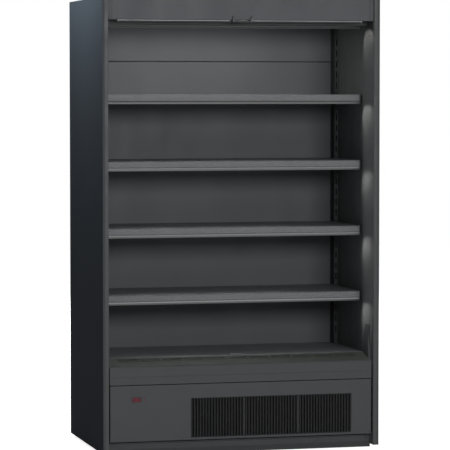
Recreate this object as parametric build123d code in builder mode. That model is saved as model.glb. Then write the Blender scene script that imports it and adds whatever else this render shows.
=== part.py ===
from build123d import *
import os
from math import atan2, cos, degrees, radians, sin

# Open multideck display fridge, in millimetres.
# Origin: on the floor, at the middle of the footprint. +X is to the right as seen from the front, +Y goes to the
# back and +Z up. A "setback" is a distance behind the front edge of the end panels.

os.makedirs("parts", exist_ok=True)

# ---------------------------------------------------------------- driving sizes

# Cabinet
cabinet_width = 1275.0
cabinet_depth = 750.0
cabinet_height = 2030.0

# Clearances and joints
seam = 0.5  # open joint between two fixed sheets
moving_gap = 0.3  # between a moving piece and its seat
shaft_clearance = 0.05  # radial, round a turning shaft
sheet = 1.2  # thickness of folded steel sheet
sheet_bend = 2.5  # outside radius of its folds

# End panels
wall_thickness = 26.5
wall_floor_gap = 14.0
skin_return = 9.0  # side skin folded round onto the front and back edges
groove_width = 2.0
groove_depth = 0.8
liner_setback = 30.0  # front edge of the inner liner
liner_joint_height = 1754.0  # where the upper and lower inner sheets meet

# Base frame and feet
frame_bottom = 52.0
frame_height = 40.0
frame_rail_width = 30.0
frame_wall = 3.0
frame_setback = 62.0
floor_plate = 1.5
foot_inset = 45.0
foot_pad_radius = 26.0
foot_pad_height = 12.0
foot_stem_radius = 6.0
foot_nut_radius = 11.0
foot_nut_height = 8.0

# Kick plate
kick_setback = 42.0
kick_floor_gap = 4.0
kick_fold_height = 28.0
kick_foot_lean = 7.0
kick_return = 36.0
screw_radius = 3.4
screw_head = 2.0
screw_shank_radius = 1.9
screw_inset = 19.0
screw_drop = 6.5

# Front panels
front_setback = 10.0
front_end_gap = 6.0
panel_return = 20.0
panel_bottom = 65.0
panel_height = 250.0
panel_gap = 2.0
bumper_height = 81.0
bumper_band = 35.0
bumper_sheet = 1.5
bumper_groove = 1.6

# Grille in the lower front panel
grille_width = 748.0
grille_height = 178.0
grille_right_margin = 94.5
grille_bottom_margin = 10.0
grille_flange = 7.0
grille_flange_thickness = 2.0
grille_depth = 9.0
grille_pitch = 13.2
grille_slot = 8.4
grille_bar = 4.0

# Controller
controller_left_margin = 131.0
controller_height_above_panel = 187.0
bezel_width = 67.0
bezel_height = 32.0
bezel_thickness = 2.0
controller_depth = 58.0
bezel_lip = 2.5
lens_width = 42.0
lens_height = 22.0
lens_thickness = 1.5
key_width = 7.0
key_height = 8.5
key_length = 7.0
key_proud = 1.2
key_travel = 1.0
key_spacing = 11.5

# Insulated tub under the deck
tub_bottom = 305.0
tub_floor = 30.0
tub_setback = 30.0
tub_front_wall = 40.0
tub_side_wall = 21.0
tub_front_height = 392.0
ledge_height = 402.0
drain_radius = 10.0

# Deck, return air grille and blind catch
deck_height = 425.0
deck_setback = 126.0
deck_gap = 1.5
deck_side_gap = 1.5
deck_notch_clearance = 8.0
intake_slot_length = 91.0
intake_slot_width = 7.0
intake_slot_pitch = 101.0
intake_rows = 3
intake_row_pitch = 15.0
catch_width = 58.0
catch_height = 11.0
catch_depth = 12.0

# Cheeks on the end walls, over the ends of the return air grille
cheek_setback = 34.0
cheek_depth = 80.0
cheek_height = 131.0  # above the deck
cheek_lean = 26.0  # front edge further back at the top
cheek_thickness = 12.0
cheek_top_thickness = 2.5
cheek_shoulder = 50.0  # full thickness up to here, above the deck
cheek_corner = 3.0

# Rear wall and duct
rear_wall_thickness = 55.0
duct_depth = 79.0
duct_sheet = 1.2
duct_return = 12.0

# Slotted uprights
upright_width = 18.0
upright_depth = 65.0
upright_sheet = 2.0
slot_pitch = 50.0
slot_height = 30.0
slot_width = 5.0

# Canopy
roof_thickness = 45.0
fascia_height = 99.0
fascia_return = 20.0
canopy_depth = 120.0
ceiling_drop = 116.0  # underside of the ceiling below the roof's top
duct_wall_setback = 100.0
duct_wall_lip = 9.0
outlet_width = 66.0
outlet_grid_height = 20.0
outlet_cells = 26
outlet_rib = 2.0
lamp_width = 24.0
lamp_height = 14.0

# Night blind
blind_bracket_sheet = 3.0
blind_bracket_drop = 168.0
blind_bracket_depth = 150.0
roller_setback = 66.0
roller_drop = 58.0  # roller's axis below the roof's top
roller_radius = 25.0
roller_pin_radius = 5.0
blind_sheet = 0.8
bar_end_gap = 48.5  # between the pull bar's end and the end wall
bar_depth = 20.0
bar_height = 16.0
bar_setback = 32.0
bar_drop = 107.0  # bottom of the bar below the roof's top
bar_end_margin = 7.5  # sheet narrower than the bar, each side
handle_width = 96.0
handle_height = 32.0
handle_wall = 3.0
handle_drop = 6.0  # hood's foot below the arm
handle_recess = 14.0
handle_front = 0.6
handle_clearance = 1.5

# Shelves
shelf_count = 4
lowest_shelf = 702.0
shelf_pitch = 300.0
shelf_setback = 171.0
shelf_rear_gap = 6.0
shelf_end_gap = 10.0
tray_front_fold = 36.0
tray_rear_fold = 25.0
tray_return = 14.0
rib_width = 40.0
rib_height = 12.0
rib_spacing = 520.0
bracket_sheet = 3.0
bracket_rear_height = 75.0
bracket_front_height = 30.0
hook_height = 14.0
hook_tooth = 5.0
hook_play = 1.5
hook_drop = 24.0  # slot's lower edge below the shelf's top
hook_relief = 8.0  # bracket's top corner cut back, so that the shelf can tilt
shelf_notch_gap = 7.0
shelf_notch_side = 1.5
rail_height = 33.0
rail_thickness = 4.0
rail_lip = 2.5
rail_recess = 0.8
rail_end = 3.0
shelf_lamp_height = 8.0
shelf_lamp_depth = 19.0

# Evaporator and its fans
evaporator_end_gap = 70.0  # between the fins and the tub's side wall
evaporator_height = 260.0
evaporator_depth = 62.0
evaporator_lift = 105.0
evaporator_fin_pitch = 44.0
fin_land = 10.0  # width left between two gaps
fin_cut = 6.0
coil_plate = 2.0
tube_radius = 5.0
fan_plate_sheet = 1.5
fan_plate_setback = 300.0
fan_plate_run = 120.0
evaporator_fan_radius = 50.0
evaporator_fan_gap = 4.0
evaporator_fan_spacing = 640.0
evaporator_fan_height = 18.0
fan_blade_thickness = 2.0
fan_blades = 5
hub_radius = 17.0
motor_radius = 18.0
motor_length = 28.0
motor_gap = 3.0
shaft_radius = 3.0
arm_width = 7.0
arm_thickness = 3.0

# Machine compartment
condenser_width = 420.0
condenser_height = 200.0
condenser_depth = 45.0
condenser_setback = 70.0
shroud_depth = 46.0
condenser_fin_pitch = 26.0
condenser_fan_radius = 84.0
condenser_fan_height = 30.0
condenser_hub_radius = 24.0
compressor_radius = 84.0
compressor_height = 190.0
compressor_from_left = 311.0
compressor_setback = 430.0
compressor_plate = 190.0
compressor_feet = 14.0
compressor_dome = 34.0  # height of the tapered top
compressor_crown = 50.0  # radius of its flat crown
terminal_lift = 32.0
terminal_reach = 16.0
terminal_width = 56.0
terminal_height = 60.0
tray_length = 350.0
tray_width = 260.0
tray_height = 46.0
tray_wall = 2.0
tray_right_margin = 120.0
tray_setback = 330.0
box_length = 160.0
box_depth = 100.0
box_height = 196.0
box_left_margin = 80.0
box_setback = 120.0
pipe_radius = 5.0
pipe_bend = 22.0
pipe_spacing = 22.0
discharge_height = 100.0
liquid_height = 50.0
suction_height = 145.0
pipe_shaft_width = 50.0
pipe_shaft_depth = 34.0

# Rear service cover
cover_setback_from_back = 2.0
cover_sheet = 1.5
cover_top_gap = 2.0
cover_side_gap = 11.0
cover_louvre_length = 150.0
cover_louvre_height = 8.0
cover_louvre_pitch = 22.0
cover_louvre_rows = 5
cover_louvre_columns = 4
cable_entry_radius = 10.0
cable_entry_from_side = 90.0

# ---------------------------------------------------------------- worked out

front = -cabinet_depth / 2
back = cabinet_depth / 2
half_width = cabinet_width / 2
inner_half = half_width - wall_thickness
panel_half = inner_half - front_end_gap
skin_bend = sheet + groove_depth

frame_top = frame_bottom + frame_height
machine_floor = frame_top + floor_plate
cover_face = back - cover_setback_from_back
frame_back = cover_face - cover_sheet

panel_face = front + front_setback
panel_top = panel_bottom + panel_height
bumper_bottom = panel_top + panel_gap
bumper_top = bumper_bottom + bumper_height
tub_face = front + tub_setback
tub_inside = tub_bottom + tub_floor
tub_half = inner_half - tub_side_wall
evaporator_width = 2 * (tub_half - evaporator_end_gap)

rear_face = back - rear_wall_thickness
duct_face = rear_face - duct_depth
deck_front = front + deck_setback
deck_rear = duct_face - deck_gap - moving_gap
deck_half = inner_half - deck_side_gap

roof_bottom = cabinet_height - roof_thickness
ceiling = cabinet_height - ceiling_drop
fascia_bottom = cabinet_height - fascia_height
bracket_face = inner_half - blind_bracket_sheet
roller_y = front + roller_setback
roller_z = cabinet_height - roller_drop
bar_length = 2 * (inner_half - bar_end_gap)
bar_bottom = cabinet_height - bar_drop
bar_front = front + bar_setback

upright_face = duct_face - upright_depth
slot_x = inner_half - upright_width / 2
shelf_front = front + shelf_setback
shelf_half = slot_x - bracket_sheet / 2
shelf_tops = [lowest_shelf + shelf_pitch * step for step in range(shelf_count)]

grille_x = panel_half - grille_right_margin - grille_width / 2
grille_z = panel_bottom + grille_bottom_margin + grille_height / 2
controller_x = controller_left_margin - panel_half
controller_z = panel_bottom + controller_height_above_panel
compressor_x = compressor_from_left - inner_half
compressor_y = front + compressor_setback


# ---------------------------------------------------------------- shared shapes


def block(x_low, x_high, y_low, y_high, z_low, z_high, mode=Mode.ADD):
    """A box between two corners, in the part being built."""
    centre = ((x_low + x_high) / 2, (y_low + y_high) / 2, (z_low + z_high) / 2)
    with Locations(centre):
        Box(x_high - x_low, y_high - y_low, z_high - z_low, mode=mode)


def folded_section(points, thickness=sheet, side=Side.RIGHT, bend=sheet_bend, plane=Plane.YZ):
    """Section of a folded sheet: the line of its outer face, thickened to one side."""
    with BuildSketch(plane) as section:
        with BuildLine():
            FilletPolyline(*points, radius=bend)
            offset(amount=thickness, side=side)
        make_face()
    return section.sketch


def slope_plane(x, start, end):
    """Plane on a slope that runs from one (y, z) point to another, with its normal upwards."""
    middle = (x, (start[0] + end[0]) / 2, (start[1] + end[1]) / 2)
    angle = atan2(end[1] - start[1], end[0] - start[0])
    return Plane(origin=middle, x_dir=(1, 0, 0), z_dir=(0, -sin(angle), cos(angle)))


def axial_fan(radius, hub, height):
    """A bladed rotor about its own Z axis: cambered blades on a hub, their corners at the radius."""
    chord = 0.62 * radius
    rise = height - 3 * fan_blade_thickness
    reach = (radius**2 - chord**2 / 4) ** 0.5
    root = hub - fan_blade_thickness
    with BuildPart() as blade:
        with BuildSketch(Plane.YZ.offset(root)):
            with BuildLine():
                ThreePointArc((-chord / 2, -rise / 2), (chord / 12, -rise / 10), (chord / 2, rise / 2))
                offset(amount=fan_blade_thickness, side=Side.LEFT)
            make_face()
        extrude(amount=reach - root)
    with BuildPart() as rotor:
        Cylinder(hub, height)
        with PolarLocations(0, fan_blades):
            add(blade.part)
        Cylinder(shaft_radius + shaft_clearance, height, mode=Mode.SUBTRACT)
    return rotor


def finned_coil(width, height, depth, fin_pitch, plate_drop):
    """A finned block about its own centre, cut into fins front and back, with hairpin bends at both ends."""
    fins = int(width / fin_pitch) - 1
    bend_rows = 3
    with BuildPart() as coil:
        Box(width, depth, height)
        for face in (-1, 1):
            with Locations((0, face * (depth - fin_cut) / 2, 0)):
                with GridLocations(fin_pitch, height, fins, 1):
                    Box(fin_pitch - fin_land, fin_cut, height, mode=Mode.SUBTRACT)
        for end in (-1, 1):
            x = end * (width + coil_plate) / 2
            with Locations((x, 0, -plate_drop / 2)):
                Box(coil_plate, depth, height + plate_drop)
            for row in range(bend_rows):
                z = height * ((row + 0.5) / bend_rows - 0.5)
                half = height / bend_rows / 4
                with BuildSketch(Plane(origin=(end * (width / 2 + coil_plate), 0, z - half), z_dir=(end, 0, 0))):
                    Circle(tube_radius)
                axis = Axis((end * (width / 2 + coil_plate), 0, z), (0, end, 0))
                revolve(axis=axis, revolution_arc=180)
    return coil


def keep(piece, name):
    """Label one finished piece and write it."""
    piece.part.label = name
    export_step(piece.part, f"parts/{name}.step")


def keep_mirrored(piece, name):
    """Write the mirror image of a piece, across the middle of the cabinet."""
    with BuildPart() as other:
        mirror(piece.part, about=Plane.YZ)
    keep(other, name)


def keep_pair(piece, name):
    """Write a piece and its mirror image as one node of two solids."""
    with BuildPart() as pair:
        add(piece.part)
        mirror(piece.part, about=Plane.YZ)
    keep(pair, name)


# ---------------------------------------------------------------- cabinet shell


def make_end_walls():
    """Insulated end walls. Their inner face shows the joints of the liner sheets as grooves."""
    core_outside = half_width - sheet
    flange_edge = half_width - skin_return - seam
    outline = [
        (inner_half, front),
        (flange_edge, front),
        (flange_edge, front + sheet),
        (core_outside, front + sheet),
        (core_outside, back - sheet),
        (flange_edge, back - sheet),
        (flange_edge, back),
        (inner_half, back),
    ]
    with BuildPart() as wall:
        with BuildSketch(Plane.XY.offset(wall_floor_gap)):
            Polygon(*outline, align=None)
        extrude(amount=cabinet_height - wall_floor_gap)
        upright_edges = wall.edges().filter_by(Axis.Z)
        fillet(upright_edges.group_by(Axis.X)[-1], skin_bend - sheet + 0.1)
        fillet(upright_edges.group_by(Axis.X)[0].sort_by(Axis.Y)[0], 1.5)
        groove = (inner_half, inner_half + groove_depth)
        block(*groove, front + liner_setback, duct_face, liner_joint_height - groove_width / 2,
              liner_joint_height + groove_width / 2, mode=Mode.SUBTRACT)
        block(*groove, front + liner_setback - groove_width, front + liner_setback, bumper_top,
              ceiling, mode=Mode.SUBTRACT)
    keep(wall, "right_end_wall")
    keep_mirrored(wall, "left_end_wall")


def make_side_skins():
    """Outer side skins, each folded round the front and back edge of its end wall."""
    flange = half_width - skin_return
    path = [(flange, front), (half_width, front), (half_width, back), (flange, back)]
    with BuildPart() as skin:
        section = folded_section(path, side=Side.LEFT, bend=skin_bend, plane=Plane.XY.offset(wall_floor_gap))
        extrude(section, amount=cabinet_height - wall_floor_gap)
    keep_pair(skin, "side_skins")


def make_rear_wall():
    """Insulated rear wall, with the slots for the roof's and the tub's edges left square."""
    with BuildPart() as wall:
        block(-inner_half, inner_half, rear_face, back, tub_bottom, roof_bottom)
    keep(wall, "rear_insulated_wall")


def make_roof():
    """Insulated roof panel behind the canopy fascia."""
    with BuildPart() as roof:
        block(-inner_half, inner_half, front + canopy_depth, back, roof_bottom, cabinet_height)
        chamfer(roof.edges().filter_by(Axis.X).sort_by(SortBy.DISTANCE)[0], 0.6)
    keep(roof, "roof_panel")


def make_duct_panels():
    """Inner rear sheets, with a folded edge top and bottom, which hide the air duct."""
    panel_edges = (
        (deck_height - duct_return / 2, liner_joint_height - groove_width / 2),
        (liner_joint_height + groove_width / 2, ceiling + groove_width),
    )
    with BuildPart() as panels:
        for low, high in panel_edges:
            path = [
                (duct_face + duct_return, low),
                (duct_face, low),
                (duct_face, high),
                (duct_face + duct_return, high),
            ]
            extrude(folded_section(path), amount=inner_half - seam, both=True)
    keep(panels, "rear_duct_panels")


def make_uprights():
    """Slotted uprights in the rear corners: channels open to the back, standing on the tub's ledge."""
    slots = int((ceiling - lowest_shelf) / slot_pitch) + 4
    lowest_slot = lowest_shelf - hook_drop + slot_height / 2 - 4 * slot_pitch
    with BuildPart() as upright:
        block(inner_half - upright_width, inner_half, upright_face, duct_face, ledge_height, ceiling)
        block(inner_half - upright_width + upright_sheet, inner_half - upright_sheet,
              upright_face + upright_sheet, duct_face, ledge_height, ceiling, mode=Mode.SUBTRACT)
        for step in range(slots):
            with Locations((slot_x, upright_face + upright_sheet / 2, lowest_slot + slot_pitch * step)):
                Box(slot_width, upright_sheet, slot_height, mode=Mode.SUBTRACT)
    keep_pair(upright, "slotted_uprights")


# ---------------------------------------------------------------- base


def foot_places():
    """Centres of the four feet, on the frame's corner plates."""
    x = inner_half - foot_inset
    return [(side * x, y) for side in (-1, 1) for y in (front + frame_setback + foot_inset, frame_back - foot_inset)]


def make_base_frame():
    """Base frame of downward channels, with corner plates over the feet and the machine floor on top."""
    length = frame_back - front - frame_setback
    centre = (0, front + frame_setback + length / 2)
    plate = 2 * foot_inset
    with BuildPart() as frame:
        with BuildSketch(Plane.XY.offset(frame_bottom)):
            with Locations(centre):
                Rectangle(2 * inner_half, length)
                Rectangle(2 * (inner_half - frame_rail_width), length - 2 * frame_rail_width, mode=Mode.SUBTRACT)
                Rectangle(frame_rail_width, length)
        extrude(amount=frame_height)
        with BuildSketch(Plane.XY.offset(frame_bottom)):
            with Locations(centre):
                Rectangle(2 * (inner_half - frame_wall), length - 2 * frame_wall)
                Rectangle(2 * (inner_half - frame_rail_width + frame_wall),
                          length - 2 * (frame_rail_width - frame_wall), mode=Mode.SUBTRACT)
                Rectangle(frame_rail_width - 2 * frame_wall, length - 2 * frame_rail_width)
        extrude(amount=frame_height - frame_wall, mode=Mode.SUBTRACT)
        for x, y in foot_places():
            block(x - plate / 2, x + plate / 2, y - plate / 2, y + plate / 2, frame_bottom, frame_bottom + frame_wall)
        block(-inner_half, inner_half, front + frame_setback, frame_back, frame_top, machine_floor)
    keep(frame, "base_frame")


def make_feet():
    """Levelling feet: a tapered round pad, a threaded stem and the nut that locks it under the frame."""
    with BuildPart() as foot:
        with BuildSketch(Plane.XZ):
            Polygon(
                (0, 0),
                (foot_pad_radius, 0),
                (foot_pad_radius, foot_pad_height / 3),
                (foot_stem_radius, foot_pad_height),
                (foot_stem_radius, frame_bottom),
                (0, frame_bottom),
                align=None,
            )
        revolve(axis=Axis.Z)
        with BuildSketch(Plane.XY.offset(frame_bottom - foot_nut_height)):
            RegularPolygon(foot_nut_radius, 6)
        extrude(amount=foot_nut_height)
    with BuildPart() as feet:
        with Locations(*foot_places()):
            add(foot.part)
    keep(feet, "levelling_feet")


def make_kick_plate():
    """Recessed kick plate: folded under the frame at the top and leaning back at its foot."""
    path = [
        (front + kick_setback + kick_foot_lean, kick_floor_gap),
        (front + kick_setback, kick_fold_height),
        (front + kick_setback, frame_bottom),
        (front + kick_setback + kick_return, frame_bottom),
    ]
    with BuildPart() as plate:
        extrude(folded_section(path), amount=panel_half, both=True)
        with Locations(*[(side * (panel_half - screw_inset), front + kick_setback + sheet / 2,
                          frame_bottom - screw_drop) for side in (-1, 1)]):
            Cylinder(screw_shank_radius + 0.1, sheet, rotation=(90, 0, 0), mode=Mode.SUBTRACT)
    keep(plate, "kick_plate")


def make_screws():
    """Pan-head screws that hold the kick plate."""
    with BuildPart() as screw:
        Cylinder(screw_radius, screw_head, align=(Align.CENTER, Align.CENTER, Align.MIN))
        Cylinder(screw_shank_radius, sheet + 4, align=(Align.CENTER, Align.CENTER, Align.MAX))
    with BuildPart() as screws:
        for side in (-1, 1):
            x = side * (panel_half - screw_inset)
            with Locations(Plane(origin=(x, front + kick_setback, frame_bottom - screw_drop), z_dir=(0, -1, 0))):
                add(screw.part)
    keep(screws, "panel_screws")


def make_tub():
    """Insulated tub under the deck: floor, front wall, side ledges, a drain and the shaft for the pipes."""
    shaft_left = -tub_half + 5
    with BuildPart() as tub:
        block(-inner_half, inner_half, tub_face, rear_face, tub_bottom, ledge_height)
        block(-tub_half, tub_half, tub_face + tub_front_wall, rear_face, tub_inside, ledge_height, mode=Mode.SUBTRACT)
        block(-inner_half, inner_half, tub_face, tub_face + tub_front_wall, tub_front_height, ledge_height,
              mode=Mode.SUBTRACT)
        with Locations((tub_half / 2, front + tray_setback + tray_width / 2, tub_bottom + tub_floor / 2)):
            Cylinder(drain_radius, tub_floor, mode=Mode.SUBTRACT)
        block(shaft_left, shaft_left + pipe_shaft_width, rear_face - pipe_shaft_depth, rear_face, tub_bottom,
              tub_inside, mode=Mode.SUBTRACT)
    keep(tub, "insulated_tub")


# ---------------------------------------------------------------- front


def make_lower_panel():
    """Lower front panel: a pan open to the back, with windows for the grille and the controller."""
    with BuildPart() as panel:
        block(-panel_half, panel_half, panel_face, tub_face, panel_bottom, panel_top)
        fillet(panel.faces().sort_by(Axis.Y)[0].edges(), sheet_bend)
        offset(amount=-sheet, openings=panel.faces().sort_by(Axis.Y)[-1])
        block(grille_x - grille_width / 2, grille_x + grille_width / 2, panel_face, panel_face + sheet,
              grille_z - grille_height / 2, grille_z + grille_height / 2, mode=Mode.SUBTRACT)
        half_x, half_z = bezel_width / 2 - bezel_lip + seam, bezel_height / 2 - bezel_lip + seam
        block(controller_x - half_x, controller_x + half_x, panel_face, panel_face + sheet,
              controller_z - half_z, controller_z + half_z, mode=Mode.SUBTRACT)
    keep(panel, "lower_front_panel")


def make_lower_grille():
    """Slotted grille behind the panel's window, with a thin flange and deep bars."""
    columns = int((grille_width - grille_bar) / grille_pitch)
    face = panel_face + sheet
    with BuildPart() as grille:
        with BuildSketch(Plane.XZ.offset(-face)):
            with Locations((grille_x, grille_z)):
                Rectangle(grille_width + 2 * grille_flange, grille_height + 2 * grille_flange)
        extrude(amount=-grille_flange_thickness)
        with BuildSketch(Plane.XZ.offset(-face)):
            with Locations((grille_x, grille_z)):
                Rectangle(grille_width, grille_height)
        extrude(amount=-grille_depth)
        with BuildSketch(Plane.XZ.offset(-face)):
            with Locations((grille_x, grille_z)):
                with GridLocations(grille_pitch, grille_height, columns, 1):
                    Rectangle(grille_slot, grille_height - 2 * grille_bar)
        extrude(amount=-grille_depth, mode=Mode.SUBTRACT)
    keep(grille, "lower_grille")


def make_bumper():
    """Front bumper of two bands, folded back over the tub's front wall."""
    path = [
        (tub_face, bumper_bottom),
        (panel_face, bumper_bottom),
        (panel_face, bumper_top),
        (tub_face, bumper_top),
    ]
    with BuildPart() as bumper:
        extrude(folded_section(path, thickness=bumper_sheet), amount=panel_half, both=True)
        band = bumper_bottom + bumper_band
        block(-panel_half, panel_half, panel_face, panel_face + bumper_sheet / 2, band - bumper_groove / 2,
              band + bumper_groove / 2, mode=Mode.SUBTRACT)
    keep(bumper, "front_bumper")


def make_controller():
    """Controller: housing with its bezel, a display lens and two sprung keys."""
    face = panel_face - bezel_thickness
    lens_x = controller_x - bezel_width / 2 + bezel_lip + lens_width / 2
    key_x = controller_x + bezel_width / 2 - bezel_lip - key_width / 2 - moving_gap - 1.5
    pocket = (key_width + 2 * moving_gap, key_height + 2 * moving_gap)
    key_heights = (controller_z + key_spacing / 2, controller_z - key_spacing / 2)
    with BuildPart() as housing:
        block(controller_x - bezel_width / 2, controller_x + bezel_width / 2, face, panel_face,
              controller_z - bezel_height / 2, controller_z + bezel_height / 2)
        fillet(housing.faces().sort_by(Axis.Y)[0].edges(), 0.6)
        half_x, half_z = bezel_width / 2 - bezel_lip, bezel_height / 2 - bezel_lip
        block(controller_x - half_x, controller_x + half_x, panel_face, face + controller_depth,
              controller_z - half_z, controller_z + half_z)
        block(lens_x - lens_width / 2, lens_x + lens_width / 2, face, face + lens_thickness,
              controller_z - lens_height / 2, controller_z + lens_height / 2, mode=Mode.SUBTRACT)
        pocket_depth = key_length - key_proud + key_travel + moving_gap
        for key_z in key_heights:
            block(key_x - pocket[0] / 2, key_x + pocket[0] / 2, face, face + pocket_depth,
                  key_z - pocket[1] / 2, key_z + pocket[1] / 2, mode=Mode.SUBTRACT)
    keep(housing, "controller_housing")
    with BuildPart() as lens:
        block(lens_x - lens_width / 2, lens_x + lens_width / 2, face, face + lens_thickness,
              controller_z - lens_height / 2, controller_z + lens_height / 2)
    keep(lens, "controller_lens")
    for name, key_z in zip(("controller_key_up", "controller_key_down"), key_heights):
        with BuildPart() as key:
            block(key_x - key_width / 2, key_x + key_width / 2, face - key_proud, face - key_proud + key_length,
                  key_z - key_height / 2, key_z + key_height / 2)
            fillet(key.faces().sort_by(Axis.Y)[0].edges(), 0.6)
        keep(key, name)


# ---------------------------------------------------------------- deck


def intake_line():
    """The return air grille's slope: from the bumper's top edge up to the deck's front edge."""
    start = (panel_face + bumper_sheet + sheet_bend, bumper_top)
    end = (deck_front - deck_gap, deck_height)
    return start, end


def make_return_grille():
    """Sloping return air grille: rests on the bumper and on the tub's ledges, slotted near the deck."""
    start, end = intake_line()
    slope = slope_plane(0, start, end)
    drop = sheet / cos(atan2(end[1] - start[1], end[0] - start[0]))
    slots = int(2 * deck_half / intake_slot_pitch) - 1
    row_offset = (end[0] - start[0]) / 2 - intake_rows * intake_row_pitch / 2 - intake_row_pitch / 2
    with BuildPart() as grille:
        path = [(start[0], start[1] + drop), (end[0], end[1]), (end[0], ledge_height)]
        extrude(folded_section(path), amount=deck_half, both=True)
        with Locations(slope):
            with Locations((0, row_offset, 0)):
                with GridLocations(intake_slot_pitch, intake_row_pitch, slots, intake_rows):
                    Box(intake_slot_length, intake_slot_width, 6 * sheet, mode=Mode.SUBTRACT)
    keep(grille, "return_air_grille")


def make_wall_cheeks():
    """Cheeks on the end walls: they stand over the grille's ends and thin out towards the top."""
    start, end = intake_line()
    rise = (end[1] - start[1]) / (end[0] - start[0])
    y_low, y_high = front + cheek_setback, front + cheek_setback + cheek_depth
    low = [(y, start[1] + rise * (y - start[0]) + sheet) for y in (y_low, y_high)]
    top = deck_height + cheek_height
    with BuildPart() as cheek:
        with BuildSketch(Plane.YZ.offset(inner_half - cheek_thickness)):
            Polygon(low[0], low[1], (y_high, top), (y_low + cheek_lean, top), align=None)
        extrude(amount=cheek_thickness)
        with BuildSketch(Plane.XZ.offset(-y_low)):
            Polygon(
                (inner_half, low[0][1]),
                (inner_half - cheek_thickness, low[0][1]),
                (inner_half - cheek_thickness, deck_height + cheek_shoulder),
                (inner_half - cheek_top_thickness, top),
                (inner_half, top),
                align=None,
            )
        extrude(amount=-cheek_depth, mode=Mode.INTERSECT)
        face_edges = cheek.faces().sort_by(Axis.Y)[0].edges()
        chamfer(face_edges.sort_by(Axis.X)[0], cheek_corner)
    keep_pair(cheek, "wall_cheeks")


def make_catch():
    """Catch that holds the lowered blind: a hook standing on the grille's rear edge."""
    start, end = intake_line()
    drop = sheet / cos(atan2(end[1] - start[1], end[0] - start[0]))
    rise = (end[1] - start[1] - drop) / (end[0] - start[0])
    rear = end[0] - sheet_bend
    base = [(y, start[1] + drop + rise * (y - start[0])) for y in (rear - catch_depth, rear)]
    top = deck_height + catch_height
    with BuildPart() as catch:
        with BuildSketch(Plane.YZ):
            Polygon(
                base[0],
                base[1],
                (rear, top),
                (rear - catch_depth / 2, top),
                (rear - catch_depth / 2 - 1, top - 2.5),
                (rear - 3, top - 2.5),
                (rear - 3, base[1][1] + 2.5),
                (rear - catch_depth, base[0][1] + 2.5),
                align=None,
            )
        extrude(amount=catch_width / 2, both=True)
        fillet(catch.edges().filter_by(Axis.Z).group_by(SortBy.LENGTH)[-1], 0.8)
    keep(catch, "blind_catch")


def make_deck():
    """Base deck: a folded tray, notched round the uprights, lying on the tub's ledges."""
    bottom = ledge_height + moving_gap
    path = [(deck_front, bottom), (deck_front, deck_height), (deck_rear, deck_height), (deck_rear, bottom)]
    notch_x = inner_half - upright_width - deck_side_gap
    notch_y = upright_face - deck_notch_clearance
    with BuildPart() as deck:
        extrude(folded_section(path), amount=deck_half, both=True)
        for side in (-1, 1):
            x_low, x_high = sorted((side * notch_x, side * inner_half))
            block(x_low, x_high, notch_y, duct_face, bottom, deck_height, mode=Mode.SUBTRACT)
            add_rib(side * rib_spacing / 2, deck_front + sheet, deck_rear - sheet, deck_height - sheet)
    keep(deck, "base_deck")


def add_rib(x, y_low, y_high, underside):
    """A hollow stiffening rib under a sheet, from front to back, in the part being built."""
    wide, narrow = rib_width / 2, rib_width / 2 - sheet
    block(x - wide, x + wide, y_low, y_high, underside - rib_height, underside)
    block(x - narrow, x + narrow, y_low, y_high, underside - rib_height + sheet, underside, mode=Mode.SUBTRACT)


# ---------------------------------------------------------------- canopy


def make_fascia():
    """Canopy fascia: folded back under its foot, and over the top as far as the roof panel."""
    path = [
        (panel_face + fascia_return, fascia_bottom),
        (panel_face, fascia_bottom),
        (panel_face, cabinet_height),
        (front + canopy_depth, cabinet_height),
    ]
    with BuildPart() as fascia:
        extrude(folded_section(path), amount=panel_half, both=True)
    keep(fascia, "canopy_fascia")


def make_canopy_inside():
    """Ceiling of the display and the duct's front wall, with the air outlet left open between them."""
    wall_y = front + duct_wall_setback
    outlet_rear = wall_y + outlet_width
    wall_path = [
        (wall_y + duct_wall_lip, ceiling - groove_width),
        (wall_y, ceiling - groove_width),
        (wall_y, roof_bottom),
        (front + canopy_depth + duct_wall_lip, roof_bottom),
    ]
    ceiling_path = [(outlet_rear, ceiling + outlet_grid_height), (outlet_rear, ceiling), (duct_face, ceiling)]
    with BuildPart() as inside:
        extrude(folded_section(wall_path), amount=bracket_face, both=True)
        extrude(folded_section(ceiling_path, side=Side.LEFT), amount=inner_half, both=True)
    keep(inside, "canopy_inner_panel")


def make_outlet_grid():
    """Air outlet: an egg-crate grid across the canopy, lying on the lip of the duct's front wall."""
    wall_y = front + duct_wall_setback
    bottom = ceiling - groove_width + sheet
    y_low, y_high = wall_y + sheet_bend, wall_y + outlet_width - seam
    cell_x = 2 * panel_half / outlet_cells
    cell_y = (y_high - y_low) / 2
    with BuildPart() as grid:
        block(-panel_half, panel_half, y_low, y_high, bottom, bottom + outlet_grid_height)
        with Locations((0, (y_low + y_high) / 2, bottom + outlet_grid_height / 2)):
            with GridLocations(cell_x, cell_y, outlet_cells, 2):
                Box(cell_x - outlet_rib, cell_y - outlet_rib, outlet_grid_height, mode=Mode.SUBTRACT)
    keep(grid, "air_outlet_grid")


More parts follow.
